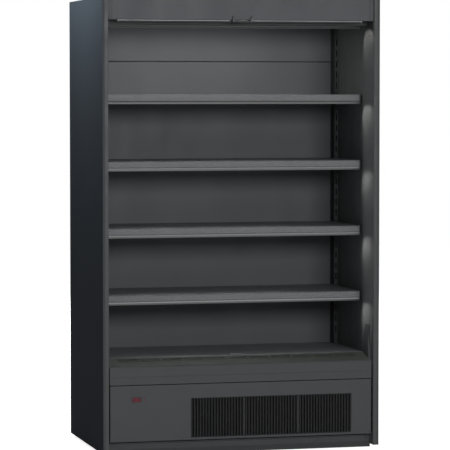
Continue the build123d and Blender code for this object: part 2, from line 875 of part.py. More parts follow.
def make_canopy_lamp():
    """Lamp under the ceiling, just behind the air outlet: a flat-topped profile with a domed diffuser."""
    y = front + duct_wall_setback + outlet_width + lamp_width / 2 + 3
    with BuildPart() as lamp:
        with BuildSketch(Plane.YZ):
            with BuildLine():
                Polyline(
                    (y - lamp_width / 2, ceiling - lamp_height / 2),
                    (y - lamp_width / 2, ceiling),
                    (y + lamp_width / 2, ceiling),
                    (y + lamp_width / 2, ceiling - lamp_height / 2),
                )
                ThreePointArc(
                    (y - lamp_width / 2, ceiling - lamp_height / 2),
                    (y, ceiling - lamp_height),
                    (y + lamp_width / 2, ceiling - lamp_height / 2),
                )
            make_face()
        extrude(amount=panel_half - front_end_gap, both=True)
    keep(lamp, "canopy_lamp")


# ---------------------------------------------------------------- night blind


def make_blind_brackets():
    """Brackets at both ends of the canopy: they hold the roller's pins and the fascia."""
    low = cabinet_height - blind_bracket_drop
    deep = front + blind_bracket_depth
    flange_x = panel_half - 9
    with BuildPart() as bracket:
        with BuildSketch(Plane.YZ.offset(bracket_face)):
            Polygon(
                (panel_face + sheet, cabinet_height - sheet),
                (panel_face + sheet, low),
                (front + blind_bracket_depth / 2, low),
                (deep, ceiling + 11),
                (deep, roof_bottom),
                (front + canopy_depth, roof_bottom),
                (front + canopy_depth, cabinet_height - sheet),
                align=None,
            )
        extrude(amount=blind_bracket_sheet)
        block(flange_x, inner_half, panel_face + sheet, panel_face + sheet + blind_bracket_sheet,
              fascia_bottom + 3 * sheet_bend, cabinet_height - 3 * sheet_bend)
        with Locations((inner_half - blind_bracket_sheet / 2, roller_y, roller_z)):
            Cylinder(roller_pin_radius + shaft_clearance, blind_bracket_sheet, rotation=(0, 90, 0),
                     mode=Mode.SUBTRACT)
    keep_pair(bracket, "blind_brackets")


def make_roller():
    """Roller of the night blind: the wound sheet, and a pin at each end that turns in its bracket."""
    wound = bar_length / 2 - bar_end_margin
    pin = inner_half - moving_gap
    with BuildPart() as roller:
        with BuildSketch(Plane(origin=(0, roller_y, roller_z), x_dir=(1, 0, 0), z_dir=(0, -1, 0))):
            Polygon(
                (-pin, 0),
                (-pin, roller_pin_radius),
                (-wound, roller_pin_radius),
                (-wound, roller_radius),
                (wound, roller_radius),
                (wound, roller_pin_radius),
                (pin, roller_pin_radius),
                (pin, 0),
                align=None,
            )
        revolve(axis=Axis((0, roller_y, roller_z), (1, 0, 0)))
    keep(roller, "blind_roller")


def make_blind_sheet():
    """The stretch of blind between the roller and the pull bar, when the blind is up."""
    half = bar_length / 2 - bar_end_margin
    y = roller_y - roller_radius - moving_gap
    with BuildPart() as cloth:
        block(-half, half, y - blind_sheet, y, bar_bottom + bar_height, roller_z)
    keep(cloth, "blind_sheet")


def make_pull_bar():
    """Pull bar of the night blind: a rounded extrusion."""
    with BuildPart() as bar:
        block(-bar_length / 2, bar_length / 2, bar_front, bar_front + bar_depth, bar_bottom,
              bar_bottom + bar_height)
        fillet(bar.edges().filter_by(Axis.X).group_by(Axis.Z)[0], 4)
        fillet(bar.edges().filter_by(Axis.X).group_by(Axis.Z)[-1], 2)
    keep(bar, "blind_pull_bar")


def make_handle():
    """Moulded pull handle: an arm from the bar under the fascia, and a hollow finger hood in front of it."""
    arm_top = fascia_bottom - 2 * handle_clearance
    arm_bottom = arm_top - handle_wall
    hood_back = panel_face - handle_clearance
    hood_bottom = arm_bottom - handle_drop
    hood_top = hood_bottom + handle_height
    nose = front + handle_front
    half = handle_width / 2
    with BuildPart() as handle:
        block(-half, half, nose, hood_back, hood_bottom, hood_top)
        fillet(handle.edges().filter_by(Axis.X).group_by(Axis.Z)[-1].sort_by(Axis.Y)[0], 5)
        block(-half, half, hood_back, bar_front, arm_bottom, arm_top)
        block(handle_wall - half, half - handle_wall, nose, hood_back - handle_wall / 2, hood_bottom + handle_wall,
              hood_bottom + handle_recess, mode=Mode.SUBTRACT)
    keep(handle, "blind_handle")


# ---------------------------------------------------------------- shelves


def make_shelf(number, top):
    """One shelf: folded tray, hooked end brackets, price rail and front lamp."""
    tray_front = shelf_front + rail_thickness
    tray_rear = duct_face - shelf_rear_gap
    path = [
        (tray_front + tray_return, top - tray_front_fold),
        (tray_front, top - tray_front_fold),
        (tray_front, top),
        (tray_rear, top),
        (tray_rear, top - tray_rear_fold),
    ]
    with BuildPart() as tray:
        extrude(folded_section(path), amount=shelf_half, both=True)
        for side in (-1, 1):
            add_rib(side * rib_spacing / 2, tray_front + sheet, tray_rear - sheet, top - sheet)
            x_low, x_high = sorted((side * (inner_half - upright_width - shelf_notch_side), side * inner_half))
            block(x_low, x_high, upright_face - shelf_notch_gap, duct_face, top - tray_front_fold, top,
                  mode=Mode.SUBTRACT)
    keep(tray, f"shelf_{number}_tray")

    hook = top - hook_drop + moving_gap
    web_back = upright_face + upright_sheet
    with BuildPart() as bracket:
        with BuildSketch(Plane.YZ.offset(shelf_half)):
            Polygon(
                (tray_front + 5, top),
                (upright_face - hook_relief, top),
                (upright_face - seam, hook + hook_height / 2),
                (upright_face - seam, top - bracket_rear_height),
                (tray_front + 5, top - bracket_front_height),
                align=None,
            )
            with Locations((upright_face - seam, hook)):
                Rectangle(web_back + hook_play + bracket_sheet - upright_face + seam, hook_height,
                          align=(Align.MIN, Align.MIN))
            with Locations((web_back + hook_play, hook + hook_height)):
                Rectangle(bracket_sheet, hook_height + hook_tooth, align=(Align.MIN, Align.MAX))
            with Locations((upright_face - seam, hook - slot_pitch)):
                Rectangle(seam + upright_sheet + bracket_sheet, hook_height, align=(Align.MIN, Align.MIN))
        extrude(amount=bracket_sheet)
    keep_pair(bracket, f"shelf_{number}_brackets")

    with BuildPart() as rail:
        with BuildSketch(Plane.YZ):
            Polygon(
                (tray_front, top - seam),
                (shelf_front + 1, top - seam),
                (shelf_front, top - seam - 1),
                (shelf_front, top - rail_lip),
                (shelf_front + rail_recess, top - rail_lip),
                (shelf_front + rail_recess, top - rail_height + rail_lip),
                (shelf_front, top - rail_height + rail_lip),
                (shelf_front, top - rail_height),
                (tray_front, top - rail_height),
                align=None,
            )
        extrude(amount=shelf_half - rail_end, both=True)
    keep(rail, f"shelf_{number}_price_rail")

    lamp_top = top - tray_front_fold
    with BuildPart() as lamp:
        block(seam - shelf_half + rail_end, shelf_half - rail_end - seam, shelf_front + seam,
              shelf_front + seam + shelf_lamp_depth, lamp_top - shelf_lamp_height, lamp_top)
        fillet(lamp.edges().filter_by(Axis.X).group_by(Axis.Z)[0], 2)
    keep(lamp, f"shelf_{number}_lamp")


# ---------------------------------------------------------------- cold air circuit


def fan_plate_line():
    """The fan plate's slope in the tub: from the floor up to the ledge, front to back."""
    start = (front + fan_plate_setback, tub_inside)
    end = (front + fan_plate_setback + fan_plate_run, ledge_height)
    return start, end


def make_evaporator():
    """Evaporator coil in the rear duct, standing on the tub's floor on its end plates."""
    centre_z = tub_inside + evaporator_lift + evaporator_height / 2
    coil = finned_coil(evaporator_width, evaporator_height, evaporator_depth, evaporator_fin_pitch, evaporator_lift)
    with BuildPart() as evaporator:
        with Locations((0, rear_face - evaporator_depth / 2, centre_z)):
            add(coil.part)
    keep(evaporator, "evaporator_coil")


def make_evaporator_fans():
    """Sloping fan plate under the deck, its two motors on three-armed brackets, and their rotors."""
    start, end = fan_plate_line()
    slope = slope_plane(0, start, end)
    opening = evaporator_fan_radius + evaporator_fan_gap
    places = [(-evaporator_fan_spacing / 2, 0), (evaporator_fan_spacing / 2, 0)]
    angle = degrees(atan2(end[1] - start[1], end[0] - start[0]))
    thick = fan_plate_sheet / sin(radians(angle))
    with BuildPart() as plate:
        with BuildSketch(Plane.YZ):
            Polygon(start, (start[0] + thick, start[1]), (end[0] + thick, end[1]), end, align=None)
        extrude(amount=tub_half, both=True)
        with Locations(slope):
            with Locations(*places):
                Cylinder(opening, 8 * fan_plate_sheet, mode=Mode.SUBTRACT)
    keep(plate, "evaporator_fan_plate")

    motor_start = evaporator_fan_height / 2 + motor_gap
    with BuildPart() as motor:
        with Locations((0, 0, motor_start + motor_length / 2)):
            Cylinder(motor_radius, motor_length)
        with Locations((0, 0, (motor_start - evaporator_fan_height / 2) / 2)):
            Cylinder(shaft_radius, motor_start + evaporator_fan_height / 2)
        with PolarLocations(0, 3, start_angle=90):
            with Locations(((opening + 8) / 2, 0, motor_start + arm_thickness / 2)):
                Box(opening + 8, arm_width, arm_thickness)
            with Locations((opening + 8 - arm_thickness / 2, 0, (motor_start + arm_thickness) / 2)):
                Box(arm_thickness, arm_width, motor_start + arm_thickness)
    with BuildPart() as motors:
        with Locations(slope):
            with Locations(*places):
                add(motor.part)
    keep(motors, "evaporator_fan_motors")

    rotor = axial_fan(evaporator_fan_radius, hub_radius, evaporator_fan_height)
    for name, place in zip(("evaporator_fan_left", "evaporator_fan_right"), places):
        with BuildPart() as fan:
            with Locations(slope):
                with Locations(place):
                    add(rotor.part)
        keep(fan, name)


# ---------------------------------------------------------------- machine compartment


def make_condenser():
    """Condenser coil behind the front grille, its fan shroud with the motor, and the fan."""
    y_low = front + condenser_setback
    centre_z = machine_floor + condenser_height / 2
    coil = finned_coil(condenser_width, condenser_height, condenser_depth, condenser_fin_pitch, 0)
    with BuildPart() as condenser:
        with Locations((grille_x, y_low + condenser_depth / 2, centre_z)):
            add(coil.part)
    keep(condenser, "condenser_coil")

    shroud_front = y_low + condenser_depth
    shroud_back = shroud_front + shroud_depth
    fan_y = shroud_back - condenser_fan_height / 2
    shaft_front = fan_y - condenser_fan_height / 2
    motor_front = shroud_back + motor_gap
    half = condenser_width / 2
    with BuildPart() as shroud:
        block(grille_x - half, grille_x + half, shroud_front, shroud_back, machine_floor,
              machine_floor + condenser_height)
        offset(amount=-sheet, openings=shroud.faces().sort_by(Axis.Y)[0])
        with Locations((grille_x, shroud_back, centre_z)):
            Cylinder(condenser_fan_radius + evaporator_fan_gap, 4 * sheet, rotation=(90, 0, 0), mode=Mode.SUBTRACT)
        with Locations((grille_x, motor_front + motor_length / 2, centre_z)):
            Cylinder(motor_radius * 1.3, motor_length, rotation=(90, 0, 0))
        with Locations((grille_x, (shaft_front + motor_front) / 2, centre_z)):
            Cylinder(shaft_radius, motor_front - shaft_front, rotation=(90, 0, 0))
        reach = condenser_fan_radius + evaporator_fan_gap + 8
        for side in (-1, 1):
            x_low, x_high = sorted((grille_x, grille_x + side * reach))
            block(x_low, x_high, motor_front, motor_front + arm_thickness, centre_z - arm_width / 2,
                  centre_z + arm_width / 2)
            x_low, x_high = sorted((grille_x + side * (reach - arm_thickness), grille_x + side * reach))
            block(x_low, x_high, shroud_back, motor_front, centre_z - arm_width / 2, centre_z + arm_width / 2)
    keep(shroud, "condenser_fan_shroud")

    rotor = axial_fan(condenser_fan_radius, condenser_hub_radius, condenser_fan_height)
    with BuildPart() as fan:
        with Locations(Plane(origin=(grille_x, fan_y, centre_z), z_dir=(0, 1, 0))):
            add(rotor.part)
    keep(fan, "condenser_fan")


def make_compressor():
    """Hermetic compressor: a shell with a tapered top, on a base plate with four feet and a terminal box."""
    base = machine_floor + compressor_feet
    top = machine_floor + compressor_height
    with BuildPart() as compressor:
        with BuildSketch(Plane.XZ):
            Polygon(
                (0, base),
                (compressor_radius, base),
                (compressor_radius, top - compressor_dome),
                (compressor_crown, top),
                (0, top),
                align=None,
            )
        revolve(axis=Axis.Z)
        half = compressor_plate / 2
        block(-half, half, -half * 0.55, half * 0.55, base, base + 3)
        block(-compressor_radius - terminal_reach, 0, -terminal_width / 2, terminal_width / 2,
              base + terminal_lift, base + terminal_lift + terminal_height)
        with Locations((0, 0, machine_floor + compressor_feet / 2)):
            with GridLocations(compressor_plate - 30, compressor_plate * 0.55 - 25, 2, 2):
                Box(18, 18, compressor_feet)
    with BuildPart() as placed:
        with Locations((compressor_x, compressor_y, 0)):
            add(compressor.part)
    keep(placed, "compressor")


def make_evaporation_tray():
    """Tray that catches the defrost water below the tub's drain."""
    x_high = inner_half - tray_right_margin
    with BuildPart() as tray:
        block(x_high - tray_length, x_high, front + tray_setback, front + tray_setback + tray_width,
              machine_floor, machine_floor + tray_height)
        fillet(tray.edges().filter_by(Axis.Z), 12)
        offset(amount=-tray_wall, openings=tray.faces().sort_by(Axis.Z)[-1])
    keep(tray, "evaporation_tray")


def make_electrical_box():
    """Electrical box behind the controller, with a lid seam round it."""
    x_low = -inner_half + box_left_margin
    y_low = front + box_setback
    with BuildPart() as box:
        block(x_low, x_low + box_length, y_low, y_low + box_depth, machine_floor, machine_floor + box_height)
        fillet(box.edges().filter_by(Axis.Z), 5)
        with BuildSketch(Plane.XY.offset(machine_floor + box_height - 30)):
            with Locations((x_low + box_length / 2, y_low + box_depth / 2)):
                Rectangle(box_length + 2, box_depth + 2)
                Rectangle(box_length - 2, box_depth - 2, mode=Mode.SUBTRACT)
        extrude(amount=1.5, mode=Mode.SUBTRACT)
    keep(box, "electrical_box")


def eased(points):
    """The route with each corner cut across, so that the tube turns in two steps."""
    route = [points[0]]
    for before, corner, after in zip(points, points[1:], points[2:]):
        middle = Vector(*corner)
        for other in (before, after):
            route.append(middle + (Vector(*other) - middle).normalized() * pipe_bend)
    return route + [points[-1]]


def pipe_run(points):
    """One pipe: a round tube swept along straight runs joined by cut corners."""
    with BuildPart() as pipe:
        with BuildLine():
            run = Polyline(*eased(points))
        start = Vector(*points[0])
        with BuildSketch(Plane(origin=start, z_dir=Vector(*points[1]) - start)):
            Circle(pipe_radius)
        sweep(path=run, transition=Transition.RIGHT)
    return pipe.part


def make_pipes():
    """Refrigerant pipes: compressor to condenser, condenser to evaporator, evaporator to compressor."""
    coil_end = grille_x - condenser_width / 2 - coil_plate
    coil_y = front + condenser_setback + condenser_depth / 2
    shaft_x = -tub_half + 5 + pipe_shaft_width / 2
    shaft_y = rear_face - pipe_shaft_depth / 2
    liquid_x = shaft_x + pipe_spacing / 2
    suction_x = shaft_x - pipe_spacing / 2
    evaporator_end = -evaporator_width / 2 - coil_plate
    evaporator_z = tub_inside + evaporator_lift + evaporator_height / 2
    liquid_rise = evaporator_z - evaporator_height / 4
    suction_rise = evaporator_z + evaporator_height / 4
    discharge = [
        (compressor_x, compressor_y - compressor_radius, machine_floor + discharge_height),
        (compressor_x, coil_y, machine_floor + discharge_height),
        (coil_end, coil_y, machine_floor + discharge_height),
    ]
    liquid = [
        (coil_end, coil_y, machine_floor + liquid_height),
        (liquid_x, coil_y, machine_floor + liquid_height),
        (liquid_x, shaft_y, machine_floor + liquid_height),
        (liquid_x, shaft_y, liquid_rise),
        (evaporator_end, shaft_y, liquid_rise),
    ]
    suction = [
        (evaporator_end, shaft_y, suction_rise),
        (suction_x, shaft_y, suction_rise),
        (suction_x, shaft_y, machine_floor + suction_height),
        (suction_x, compressor_y, machine_floor + suction_height),
        (compressor_x - compressor_radius, compressor_y, machine_floor + suction_height),
    ]
    with BuildPart() as pipes:
        for points in (discharge, liquid, suction):
            add(pipe_run(points))
    keep(pipes, "refrigerant_pipes")


def make_service_cover():
    """Rear service cover: a louvred sheet screwed to the base frame, with the cable entry."""
    half = inner_half - cover_side_gap
    top = tub_bottom - cover_top_gap
    height = top - frame_bottom
    with BuildPart() as cover:
        block(-half, half, frame_back, cover_face, frame_bottom, top)
        with BuildSketch(Plane.XZ.offset(-cover_face)):
            with Locations((0, frame_bottom + height / 2 + frame_height / 2)):
                with GridLocations(cover_louvre_length + 40, cover_louvre_pitch, cover_louvre_columns,
                                   cover_louvre_rows):
                    Rectangle(cover_louvre_length, cover_louvre_height)
        extrude(amount=cover_sheet, mode=Mode.SUBTRACT)
        with Locations((half - cable_entry_from_side, cover_face - cover_sheet / 2, machine_floor + 40)):
            Cylinder(cable_entry_radius, cover_sheet, rotation=(90, 0, 0), mode=Mode.SUBTRACT)
    keep(cover, "rear_service_cover")


# ---------------------------------------------------------------- build

make_end_walls()
make_side_skins()
make_rear_wall()
make_roof()
make_duct_panels()
make_uprights()
make_base_frame()
make_feet()
make_kick_plate()
make_screws()
make_tub()
make_lower_panel()
make_lower_grille()
make_bumper()
make_controller()
make_return_grille()
make_wall_cheeks()
make_catch()
make_deck()
make_fascia()
make_canopy_inside()
make_outlet_grid()
make_canopy_lamp()
make_blind_brackets()
make_roller()
make_blind_sheet()
make_pull_bar()
make_handle()
for shelf_number, shelf_top in enumerate(shelf_tops, start=1):
    make_shelf(shelf_number, shelf_top)
make_evaporator()
make_evaporator_fans()
make_condenser()
make_compressor()
make_evaporation_tray()
make_electrical_box()
make_pipes()
make_service_cover()
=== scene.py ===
from math import cos, pi, radians, sin, tan, tau

import bmesh
import bpy
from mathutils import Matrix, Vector


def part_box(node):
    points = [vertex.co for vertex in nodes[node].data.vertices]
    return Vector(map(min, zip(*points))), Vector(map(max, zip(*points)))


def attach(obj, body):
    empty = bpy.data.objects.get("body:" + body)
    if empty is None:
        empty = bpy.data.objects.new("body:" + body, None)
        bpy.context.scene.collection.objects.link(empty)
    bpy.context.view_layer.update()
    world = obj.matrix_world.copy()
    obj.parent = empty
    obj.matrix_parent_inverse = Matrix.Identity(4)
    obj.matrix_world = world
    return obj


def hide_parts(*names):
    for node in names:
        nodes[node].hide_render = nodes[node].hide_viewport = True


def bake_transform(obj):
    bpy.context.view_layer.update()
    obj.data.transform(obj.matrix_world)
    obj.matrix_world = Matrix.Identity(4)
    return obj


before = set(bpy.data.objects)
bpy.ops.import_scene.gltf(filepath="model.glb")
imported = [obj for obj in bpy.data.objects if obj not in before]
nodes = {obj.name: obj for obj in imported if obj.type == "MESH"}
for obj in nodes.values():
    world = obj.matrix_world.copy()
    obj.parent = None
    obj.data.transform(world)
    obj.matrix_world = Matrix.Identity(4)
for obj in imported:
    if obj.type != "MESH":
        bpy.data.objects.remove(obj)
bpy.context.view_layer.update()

# Open multideck display fridge. Metres; X to the right as seen from the front, Y to the back, Z up.

scene = bpy.context.scene

FRONT = -0.375  # Y of the cabinet's front edge
CLEAR_HALF = 0.6110  # half the clear width between the end walls
SIDES = (-1.0, 1.0)
SHELVES = (1, 2, 3, 4)  # from the lowest to the highest

WHITE = (1.0, 1.0, 1.0)
WARM = (1.0, 0.99, 0.96)
LAMP_TINT = (1.0, 0.98, 0.95)


# ---------------------------------------------------------------- node helpers


def feed(tree, socket, value):
    """A socket takes another node's output, or a plain number, vector or colour."""
    if isinstance(value, bpy.types.NodeSocket):
        tree.links.new(value, socket)
    elif socket.type == "RGBA":
        socket.default_value = (*value, 1.0)
    else:
        socket.default_value = value


def assign(tree, node, values):
    """Feeds a node's sockets, given by name or number."""
    for key, value in values.items():
        feed(tree, node.inputs[key], value)


def add_node(tree, kind, values=None, **settings):
    node = tree.nodes.new("ShaderNode" + kind)
    for key, value in settings.items():
        setattr(node, key, value)
    assign(tree, node, values or {})
    return node


def new_material(name):
    mat = bpy.data.materials.new(name)
    mat.use_nodes = True
    tree = mat.node_tree
    tree.nodes.clear()
    shader = add_node(tree, "BsdfPrincipled")
    add_node(tree, "OutputMaterial", {"Surface": shader.outputs["BSDF"]})
    return mat, tree, shader


def place(tree, scale=(1, 1, 1)):
    """Coordinates of the piece itself, in metres, times a scale."""
    coord = add_node(tree, "TexCoord")
    return add_node(tree, "Mapping", {"Vector": coord.outputs["Object"], "Scale": scale}).outputs["Vector"]


def noise(tree, vector, scale, detail=2.0, rough=0.5):
    values = {"Vector": vector, "Scale": scale, "Detail": detail, "Roughness": rough}
    return add_node(tree, "TexNoise", values).outputs["Fac"]


def cells(tree, vector, scale, randomness=1.0):
    """Voronoi cells, with the outputs Distance and Color."""
    return add_node(tree, "TexVoronoi", {"Vector": vector, "Scale": scale, "Randomness": randomness}).outputs


def spread(tree, value, low, high, from_low=0.0, from_high=1.0):
    """A value carried from one range over to another, and kept inside it."""
    values = {"Value": value, "From Min": from_low, "From Max": from_high, "To Min": low, "To Max": high}
    return add_node(tree, "MapRange", values).outputs["Result"]


def math_node(tree, operation, *values):
    return add_node(tree, "Math", dict(enumerate(values)), operation=operation).outputs["Value"]


def mix_colour(tree, factor, a, b):
    return add_node(tree, "Mix", {0: factor, 6: a, 7: b}, data_type="RGBA").outputs[2]


def bump(tree, height, strength, distance, normal=None):
    values = {"Height": height, "Strength": strength, "Distance": distance}
    if normal is not None:
        values["Normal"] = normal
    return add_node(tree, "Bump", values).outputs["Normal"]


def rounded_normal(tree, radius):
    return add_node(tree, "Bevel", {"Radius": radius}, samples=4).outputs["Normal"]


def edge_mask(tree, radius):
    """1 on the edges, where the rounded normal leaves the true one, and 0 on the flats."""
    normals = {0: rounded_normal(tree, radius), 1: add_node(tree, "NewGeometry").outputs["Normal"]}
    dot = add_node(tree, "VectorMath", normals, operation="DOT_PRODUCT")
    return spread(tree, math_node(tree, "SUBTRACT", 1.0, dot.outputs["Value"]), 0.0, 1.0, 0.02, 0.35)


def split_axes(tree, vector):
    return add_node(tree, "SeparateXYZ", {"Vector": vector}).outputs


def painted_light_band(tree, vector, base, axis, level, colour):
    """Painted light or shade: another colour wherever the coordinate on one axis lies below a level."""
    blur = 0.0006
    mask = spread(tree, split_axes(tree, vector)[axis], 1.0, 0.0, level, level + blur)
    return mix_colour(tree, mask, base, colour)


def times(colour, k):
    return tuple(min(1.0, c * k) for c in colour)


# ---------------------------------------------------------------- materials


def powder_coat(name, colour, rough=0.44, peel=620.0, peel_strength=0.22, wear=0.35, level=0.35, front=None):
    """Stove-enamelled sheet steel: fine orange peel, faint cloudiness, edges polished a little lighter.

    front is a level on Y and the factor that the colour gets in front of it, as painted light or shade.
    """
    mat, tree, shader = new_material(name)
    v = place(tree)
    base = mix_colour(tree, noise(tree, v, 2.6, 3.0, 0.6), times(colour, 0.93), times(colour, 1.07))
    grains = spread(tree, noise(tree, v, 1500.0, 2.0, 0.7), 0.0, 0.22, 0.35, 0.75)
    base = mix_colour(tree, grains, base, times(colour, 1.35))
    # Painted light or shade: the faces in front of the level get the colour times the factor.
    if front:
        base = painted_light_band(tree, v, base, "Y", front[0], times(colour, front[1]))
    patches = spread(tree, noise(tree, v, 38.0, 4.0, 0.65), 0.0, wear, 0.4, 0.75)
    rub = math_node(tree, "MULTIPLY", edge_mask(tree, 0.0011), patches)
    smears = noise(tree, place(tree, (1.0, 1.0, 0.35)), 9.0, 4.0, 0.62)
    assign(tree, shader, {
        "Base Color": mix_colour(tree, rub, base, times(colour, 2.1)),
        "Roughness": spread(tree, smears, rough - 0.06, rough + 0.08, 0.3, 0.7),
        "Specular IOR Level": level,
        "Normal": bump(tree, noise(tree, v, peel, 1.5), peel_strength, 0.00012, rounded_normal(tree, 0.0007)),
    })
    return mat


def moulded(name, colour, rough=0.5, grain=1100.0, strength=0.3, level=0.4, painted_light_bands=()):
    """Injection-moulded plastic: spark-eroded grain and slight gloss changes.

    bands are levels on Z, each with the colour below it, from the highest to the lowest: painted shadows and
    highlights.
    """
    mat, tree, shader = new_material(name)
    v = place(tree)
    base = mix_colour(tree, noise(tree, v, 11.0, 3.0, 0.55), times(colour, 0.9), times(colour, 1.1))
    dust = spread(tree, noise(tree, v, 420.0, 3.0, 0.7), 0.0, 0.12, 0.5, 0.8)
    base = mix_colour(tree, dust, base, times(colour, 1.8))
    # Painted shadows and highlights, one band on Z at a time.
    for height, shade in painted_light_bands:
        base = painted_light_band(tree, v, base, "Z", height, shade)
    assign(tree, shader, {
        "Base Color": base,
        "Roughness": spread(tree, noise(tree, v, 24.0, 3.0), rough - 0.07, rough + 0.07, 0.3, 0.7),
        "Specular IOR Level": level,
        "Normal": bump(tree, cells(tree, v, grain)["Distance"], strength, 0.00006, rounded_normal(tree, 0.0005)),
    })
    return mat


def brushed(name, colour, rough=0.3, along=(1.0, 60.0, 60.0), metallic=1.0):
    """Drawn or brushed metal: fine lines along one direction and a little tarnish."""
    mat, tree, shader = new_material(name)
    lines = noise(tree, place(tree, along), 34.0, 4.0, 0.7)
    tarnish = spread(tree, noise(tree, place(tree), 7.0, 4.0, 0.6), 0.0, 0.4, 0.5, 0.8)
    base = mix_colour(tree, lines, times(colour, 0.86), times(colour, 1.08))
    assign(tree, shader, {
        "Base Color": mix_colour(tree, tarnish, base, times(colour, 0.7)),
        "Roughness": spread(tree, lines, rough - 0.08, rough + 0.1, 0.25, 0.75),
        "Metallic": metallic,
        "Normal": bump(tree, lines, 0.25, 0.00005, rounded_normal(tree, 0.0006)),
    })
    return mat


def spangled(name, colour):
    """Hot-dip galvanised sheet: zinc spangle of flat crystals, each with its own shade and gloss."""
    mat, tree, shader = new_material(name)
    v = place(tree)
    crystals = add_node(tree, "SeparateColor", {"Color": cells(tree, v, 85.0)["Color"]}).outputs
    base = mix_colour(tree, crystals["Red"], times(colour, 0.78), times(colour, 1.14))
    dull = spread(tree, noise(tree, v, 5.0, 4.0, 0.6), 0.0, 0.45, 0.45, 0.75)
    assign(tree, shader, {
        "Base Color": mix_colour(tree, dull, base, (0.22, 0.23, 0.24)),
        "Roughness": spread(tree, crystals["Green"], 0.28, 0.5),
        "Metallic": 0.85,
        "Normal": bump(tree, crystals["Red"], 0.12, 0.00008, rounded_normal(tree, 0.0006)),
    })
    return mat


def foamed_panel(name, colour):
    """Painted liner of an insulated panel: smooth sheet with the faint waviness of foam behind it."""
    mat, tree, shader = new_material(name)
    v = place(tree)
    waves = noise(tree, v, 6.0)
    base = mix_colour(tree, waves, times(colour, 0.92), times(colour, 1.08))
    specks = spread(tree, noise(tree, v, 1400.0, 2.0, 0.7), 0.0, 0.2, 0.4, 0.8)
    base = mix_colour(tree, specks, base, times(colour, 1.4))
    wavy = bump(tree, waves, 0.05, 0.0015, rounded_normal(tree, 0.0007))
    # Painted light: the front edge, in front of the cabinet's front, gets 0.46 of the liner's colour, which is
    # lightened against the shade on the inner faces.
    assign(tree, shader, {
        "Base Color": painted_light_band(tree, v, base, "Y", FRONT + 0.0006, times(colour, 0.46)),
        "Roughness": spread(tree, noise(tree, v, 14.0, 3.0), 0.40, 0.53, 0.3, 0.7),
        "Specular IOR Level": 0.2,
        "Normal": bump(tree, noise(tree, v, 640.0, 1.5), 0.2, 0.00012, wavy),
    })
    return mat


def finned(name, colour, pitch):
    """Lamellae pressed on tubes: thin bright edges at their real pitch, with painted shade for the dark air between
    them.
    """
    mat, tree, shader = new_material(name)
    v = place(tree)
    period = tau / 20.0  # of the wave texture at scale 1
    values = {"Vector": v, "Scale": period / pitch, "Distortion": 0.15, "Detail": 1.0}
    wave = add_node(tree, "TexWave", values, wave_type="BANDS", bands_direction="X")
    lines = spread(tree, wave.outputs["Fac"], 0.0, 1.0, 0.35, 0.75)
    dirt = noise(tree, v, 22.0, 4.0, 0.65)
    # Painted shade: the gaps between the fins get 0.16 of the fins' colour.
    base = mix_colour(tree, lines, times(colour, 0.16), colour)
    assign(tree, shader, {
        "Base Color": mix_colour(tree, spread(tree, dirt, 0.0, 0.35, 0.5, 0.8), base, (0.16, 0.15, 0.14)),
        "Roughness": spread(tree, dirt, 0.32, 0.55),
        "Metallic": 0.8,
        "Normal": bump(tree, lines, 0.5, 0.0006),
    })
    return mat


def lit_diffuser(name, strength, pale, carrier_colour, foot=None):
    """Lamp profile: anodised carrier with painted shade below foot, and a frosted strip that shines downwards."""
    mat, tree, shader = new_material(name)
    v = place(tree)
    facing = split_axes(tree, add_node(tree, "NewGeometry").outputs["Normal"])
    down = spread(tree, facing["Z"], 1.0, 0.0, -0.99, -0.93)
    grain = noise(tree, v, 800.0, 2.0, 0.6)
    carrier = mix_colour(tree, grain, times(carrier_colour, 0.9), times(carrier_colour, 1.12))
    # Painted shade: the carrier turns dark below the level foot.
    if foot:
        carrier = painted_light_band(tree, v, carrier, "Z", foot, (0.030, 0.0305, 0.032))
    # One light-emitting bead each 17 mm along the strip.
    beads = cells(tree, place(tree, (60.0, 0.0, 0.0)), 1.0, 0.0)["Distance"]
    glow = spread(tree, beads, strength * 1.15, strength * 0.85, 0.0, 0.5)
    assign(tree, shader, {
        "Base Color": mix_colour(tree, down, carrier, (pale, pale, pale * 0.98)),
        "Roughness": spread(tree, grain, 0.38, 0.52),
        "Emission Strength": math_node(tree, "MULTIPLY", down, glow),
        "Emission Color": LAMP_TINT,
        "Normal": bump(tree, grain, 0.2, 0.00005),
    })
    return mat


def smoked_lens(name):
    """Dark red window of the display: smooth, with a faint film."""
    mat, tree, shader = new_material(name)
    v = place(tree)
    film = noise(tree, v, 60.0, 3.0, 0.6)
    assign(tree, shader, {
        "Base Color": mix_colour(tree, film, (0.034, 0.018, 0.022), (0.046, 0.026, 0.031)),
        "Roughness": spread(tree, film, 0.12, 0.24),
        "Specular IOR Level": 0.12,
        "Normal": bump(tree, noise(tree, v, 500.0), 0.05, 0.00003, rounded_normal(tree, 0.0005)),
    })
    return mat


def glowing(name, colour, strength):
    """Lit segments, slightly uneven."""
    mat, tree, shader = new_material(name)
    grain = noise(tree, place(tree), 900.0)
    assign(tree, shader, {
        "Base Color": mix_colour(tree, grain, times(colour, 0.10), times(colour, 0.14)),
        "Emission Strength": spread(tree, grain, strength * 0.85, strength * 1.1),
        "Emission Color": colour,
        "Roughness": spread(tree, grain, 0.3, 0.45),
        "Specular IOR Level": 0.05,
    })
    return mat


def clear_strip(name):
    """Thin clear PVC: seen mostly by its gloss."""
    mat, tree, shader = new_material(name)
    haze = noise(tree, place(tree, (0.2, 1.0, 1.0)), 90.0, 3.0, 0.6)
    assign(tree, shader, {
        "Base Color": mix_colour(tree, haze, (0.80, 0.82, 0.83), (0.9, 0.91, 0.92)),
        "Roughness": spread(tree, haze, 0.1, 0.26),
        "Alpha": 0.05,
        "Specular IOR Level": 0.25,
        "Normal": bump(tree, noise(tree, place(tree), 160.0), 0.08, 0.0001),
    })
    return mat


